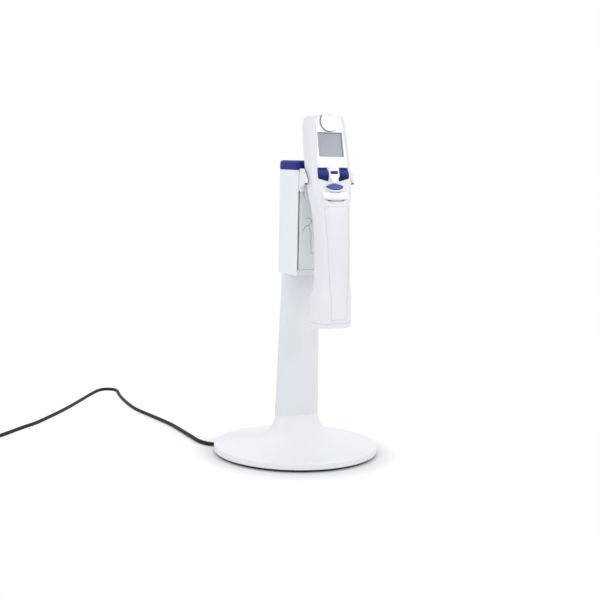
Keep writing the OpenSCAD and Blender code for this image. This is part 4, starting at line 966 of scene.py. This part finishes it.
START_ABOVE, START_BELOW = 2.5, 3.1


def start_outline(gap, scale=1.0):
    """A lens: width goes with the cosine, height with the power 1.25 of the sine, deeper below than above."""
    turn = full_turn(96)
    x, v = np.cos(turn), np.sin(turn)
    height = np.where(v > 0, START_ABOVE, START_BELOW) + gap
    return scale * np.column_stack([(START_W / 2 + gap) * x, height * np.sign(v) * np.abs(v) ** 1.25])


def start_loft(name, levels, smooth_angle=50, looped=False):
    """A solid through outlines of the start key: each [gap, scale, way out of its face] gives one."""
    return loft(name, [start_place(lift(start_outline(gap, scale), n, 1)) for gap, scale, n in levels],
                smooth_angle, looped)


def hung_block(name, w, y0, y1, z0, z1):
    """A block of the body's own frame, hung on the cradle."""
    return loft(name, [lift(box_corners(w, y0, y1), z) + HUNG for z in (z0, z1)], None)


LEDGE_TOP, LEDGE_BACK = HEAD_Z - 17.7, 0.5
LEDGE_AT = -HEAD_SET + (HEAD_Z - LEDGE_TOP) * math.tan(TILT) + FACE_N / COS_T
BRIDGE_W, BRIDGE_H, BRIDGE_TOP, PUSH = 16.0, 2.2, LEDGE_TOP - 1.4, 5.0
SLIDE_LEAN = math.radians(19)


def ejector_slots():
    """Cutters for the slot in which the ejector's bridge slides down and forward."""
    gap, wide, low = KEY_GAP, BRIDGE_W + 2 * KEY_GAP, BRIDGE_TOP - BRIDGE_H
    forward, drop = PUSH * math.sin(SLIDE_LEAN), PUSH * math.cos(SLIDE_LEAN)
    slots = []
    for part in (0, 0.5, 1):
        y, high = -LEDGE_AT - part * forward, BRIDGE_TOP + gap - part * drop
        slots.append(hung_block("slot", wide, y - 1.5 - gap, y + 3.5 + gap, low - gap - part * drop, high))
    return slots + [hung_block("slot", wide, -LEDGE_AT - 4, -LEDGE_AT + 4, low - drop, low + BRIDGE_H / 2)]


# The openings in the face are cut from here outwards
ROOM_N = 6.0
ENTER_W, ENTER_H, ENTER_U, SHAFT_ROOM_R, SCREEN_MARGIN = 3.6, 1.8, -3.7, 2.5, 3.4
front = loft("shell_front", body_rings(0, -1))
carve(front, inner_room(), loft("strip_room", strip_rings(0.2, 1.5, 1.2), None), *ejector_slots(),
      head_prism("plate_room", face_outline(0.1), SCREEN_FLOOR_N, FACE_N + 3),
      head_prism("dial_room", circle(DIAL_R + KEY_GAP, (0, DIAL_U)), SCREEN_FLOOR_N - 0.01, FACE_N + 3),
      head_prism("shaft_room", circle(SHAFT_ROOM_R, (0, DIAL_U)), ROOM_N, FACE_N),
      head_block("screen_room", SCREEN_W + SCREEN_MARGIN, SCREEN_H + SCREEN_MARGIN, SCREEN_U, ROOM_N,
                 SCREEN_FLOOR_N + 0.01),
      *[head_prism("rocker_room", rocker_outline(side, KEY_GAP + 0.1), ROOM_N - 0.3, FACE_N + 2)
        for side in (-1, 1)],
      head_block("enter_room", ENTER_W, ENTER_H, ENTER_U, ROOM_N, FACE_N),
      start_loft("start_room", [(KEY_GAP, 1, -5), (KEY_GAP, 1, 3)], None))
round_edges(front, 0.12)
place_piece(front, "pipette", "body_plastic", body_white, "front_shell")

INNER_N = FACE_N - WALL
CELL_W, CELL_H, CELL_U = HEAD_W - 17, 36.0, 22.0
COVER_W, COVER_H, COVER_U, COVER_T = CELL_W - 0.4, CELL_H + 6, CELL_U + 1, 1.6
HOOK_DROP, HOOK_W, PIN_Z, PLATE_R = 11.6, 21.2, 254.5, 2.6
ROOT_Y = HEAD_SET + (FACE_N * SIN_T - HOOK_DROP) / COS_T * SIN_T + FACE_N * COS_T
HOOK_Z = HEAD_Z - HOOK_DROP
rear = loft("shell_rear", body_rings(0, 1))
pin_u = (PIN_Z - HUNG[2] - HEAD_Z + FACE_N * SIN_T) / COS_T
plate_rooms = [head_prism("plate_room", circle(PLATE_R, (x, pin_u), 48), -FACE_N - 2, -FACE_N + 1.0)
               for x in (-5, 5)]
# A hole for each chassis screw's shank and a wider well for its head
screw_rooms = [loft("screw_room", [lift(circle(r, (x, seat_z), 48), y, 1) + HUNG for y in (y0, y1)], None)
               for seat_z, seat_y in ((16.5, 12.6), (91.5, 12.8)) for x in (-8.5, 8.5)
               for r, y0, y1 in ((0.95, 4.5, seat_y + 0.01), (1.95, seat_y, seat_y + 10))]
carve(rear, inner_room(),
      hung_block("root_room", HOOK_W, ROOT_Y - 1.45, ROOT_Y + 2.95, HOOK_Z - 0.1, HOOK_Z + 7.7),
      head_block("cover_room", COVER_W + 0.3, COVER_H + 30, COVER_U + 14.85, -FACE_N - 1, -FACE_N + COVER_T),
      head_block("cell_room", CELL_W + 1, CELL_H + 1, CELL_U, -FACE_N, -INNER_N + 1),
      *plate_rooms, *screw_rooms)
round_edges(rear, 0.12)
place_piece(rear, "pipette", "body_plastic", body_white, "rear_shell")

grip = loft("grip_front", strip_rings(0, 0, 1.1), 60)
round_edges(grip, 0.15, 2, 50)
place_piece(grip, "pipette", "body_plastic", body_white, "grip_panel")

dress("foot_collar", "body_plastic", body_white, 0.12)
dress("tip_socket", "dark_plastic", black_plastic, 0.3)
dress("finger_hook", "body_plastic", body_white, 0.8, 4)
dress("battery_cover", "body_plastic", body_white, 0.25)

# Ejector's thumb ledge [down the body, off it]: a slope for the thumb, and a lip that rolls back below
LEDGE_PROFILE = catmull([(0.0, 0.3), (0.15, 1.0), (1.2, 1.75), (2.8, 2.35), (4.2, 3.0), (5.2, 3.9),
                         (6.0, 4.15), (7.2, 3.8), (8.5, 3.2), (9.2, 2.5), (9.35, 1.4), (9.2, 0.3)], 6)
LEDGE_HALF, LEDGE_SAG, LEDGE_TALL, LEDGE_THIN = 13.3, 1.8, 0.8, 0.08


def ledge_rings():
    """Sections across the ledge: its middle hangs lower by the square of the way to its ends.

    The profile stands off the body by a superellipse of the width and gets a little shorter outwards.
    """
    x = LEDGE_HALF * np.sin(np.linspace(-1, 1, 61) * math.pi / 2 * 0.985)[:, None]
    share = (1 - np.abs(x / (LEDGE_HALF + 0.05)) ** 5) ** 0.4
    bow = (x / (LEDGE_HALF - 0.3)) ** 2
    down = LEDGE_SAG * (1 - bow) + LEDGE_PROFILE[:, 0] * (LEDGE_TALL - LEDGE_THIN * bow)
    off = LEDGE_BACK * (1 - (x / (LEDGE_HALF + 0.1)) ** 4) + (LEDGE_PROFILE[:, 1] - 0.3) * share
    f = LEDGE_AT + down * math.sin(SLIDE_LEAN) + off * math.cos(SLIDE_LEAN)
    z = LEDGE_TOP - down * math.cos(SLIDE_LEAN) + off * math.sin(SLIDE_LEAN)
    return np.stack([np.broadcast_to(x, f.shape), -f, z], -1) + HUNG


bridge_plan = box_outline(BRIDGE_W, 5, 0.3, (0, 1.0 - LEDGE_AT))
bridge = [lift(bridge_plan, z) + HUNG for z in (BRIDGE_TOP - BRIDGE_H, BRIDGE_TOP)]
ledge = lofts("thumb_ledge", [ledge_rings(), bridge], 50)
place_piece(ledge, "ejector_slide", "body_plastic", ledge_white, "ejector")
dress("faceplate", "face_plastic", face_white, 0.3, 3)
dress("display_module", "lcd", screen_look(), 0.1)
dress("display_window", "window", clear_window, 0.15)
dress("rocker_left", "blue_plastic", rocker_blue, 0.5, 4)
dress("rocker_right", "blue_plastic", rocker_blue, 0.5, 4)
dress("enter_key", "blue_plastic", key_blue, 0.35, 3)
# The start key's crowned cap and the raised rim round it: [gap, scale, way out]
start = start_loft("start_cap", [(0, 1.0, -2.4), (0, 1.0, 0.9), (0, 0.985, 1.2), (0, 0.95, 1.4),
                                 (0, 0.88, 1.55), (0, 0.7, 1.7), (0, 0.45, 1.78), (0, 0.15, 1.8)])
place_piece(start, "dispense_key", "blue_plastic", start_blue, "start_key")
start_rim = start_loft("start_rim", [
    (1.7, 1, -1.8), (1.7, 1, 0.2), (1.5, 1, 0.55), (1.15, 1, 0.72), (0.7, 1, 0.7), (KEY_GAP + 0.1, 1, 0.3),
    (KEY_GAP + 0.1, 1, -1.8)], looped=True)
place_piece(start_rim, "pipette", "body_plastic", body_white)

# Selection dial: a turned knob with a finely ribbed side, a finger dimple, and a dark ring at its foot that
# is a painted shadow round the knob
SHAFT_R, SHAFT_LOW, TOP_N = 1.25, -2.1, DIAL_PROUD + PLATE_DEEP
RIBS, RIB_DEEP, DIMPLE_R, DIMPLE_OFF = 48, 0.14, 5, 4.2
profile = np.array([(0.0, SHAFT_LOW), (SHAFT_R, SHAFT_LOW), (SHAFT_R, 0.0), (DIAL_R - 0.5, 0.0),
                    (DIAL_R - 0.1, 0.4), (DIAL_R - 0.1, 2.2), (DIAL_R, 2.3), (DIAL_R, TOP_N - 1.0)])
bend = np.radians(np.linspace(0, 90, 9)[1:])
profile = np.vstack([profile, np.column_stack([DIAL_R - 1 + np.cos(bend), TOP_N - 1 + np.sin(bend)]),
                     np.column_stack([np.linspace(DIAL_R - 1, 0, 33)[1:], np.full(32, TOP_N)])])
turn = full_turn(240)
r, n = profile[:, 0, None], profile[:, 1, None]
on_side = (n > 2.25) & (n < TOP_N - 0.2) & (r > DIAL_R - 0.7)
ribbed = r - on_side * RIB_DEEP * (0.5 - 0.5 * np.cos(turn * RIBS))
x, v = ribbed * np.cos(turn), ribbed * np.sin(turn)
# The dimple is where a ball of radius DIMPLE_R, its middle DIMPLE_OFF above the top, would sink into it
ball = np.sqrt(np.maximum(DIMPLE_R ** 2 - x ** 2 - (v - DIAL_R * 0.52) ** 2, 0))
dimple = np.maximum(0, ball - DIMPLE_OFF)
n_out = SCREEN_FLOOR_N + 0.1 + n - np.where(n >= TOP_N - 0.01, dimple, 0)
knob = loft("dial_knob", on_head(np.stack([x, np.broadcast_to(n_out, x.shape), v + DIAL_U], -1)), 40)
place_piece(knob, "mode_dial", "face_plastic", face_white, "dial")
# The knob's faces low down by the face get the dark colour: a painted shadow at the knob's foot
out_n = in_head(read(knob.data.polygons, "center") / MM)[0]
second_material(knob, dial_ring, out_n < SCREEN_FLOOR_N + 2.15)
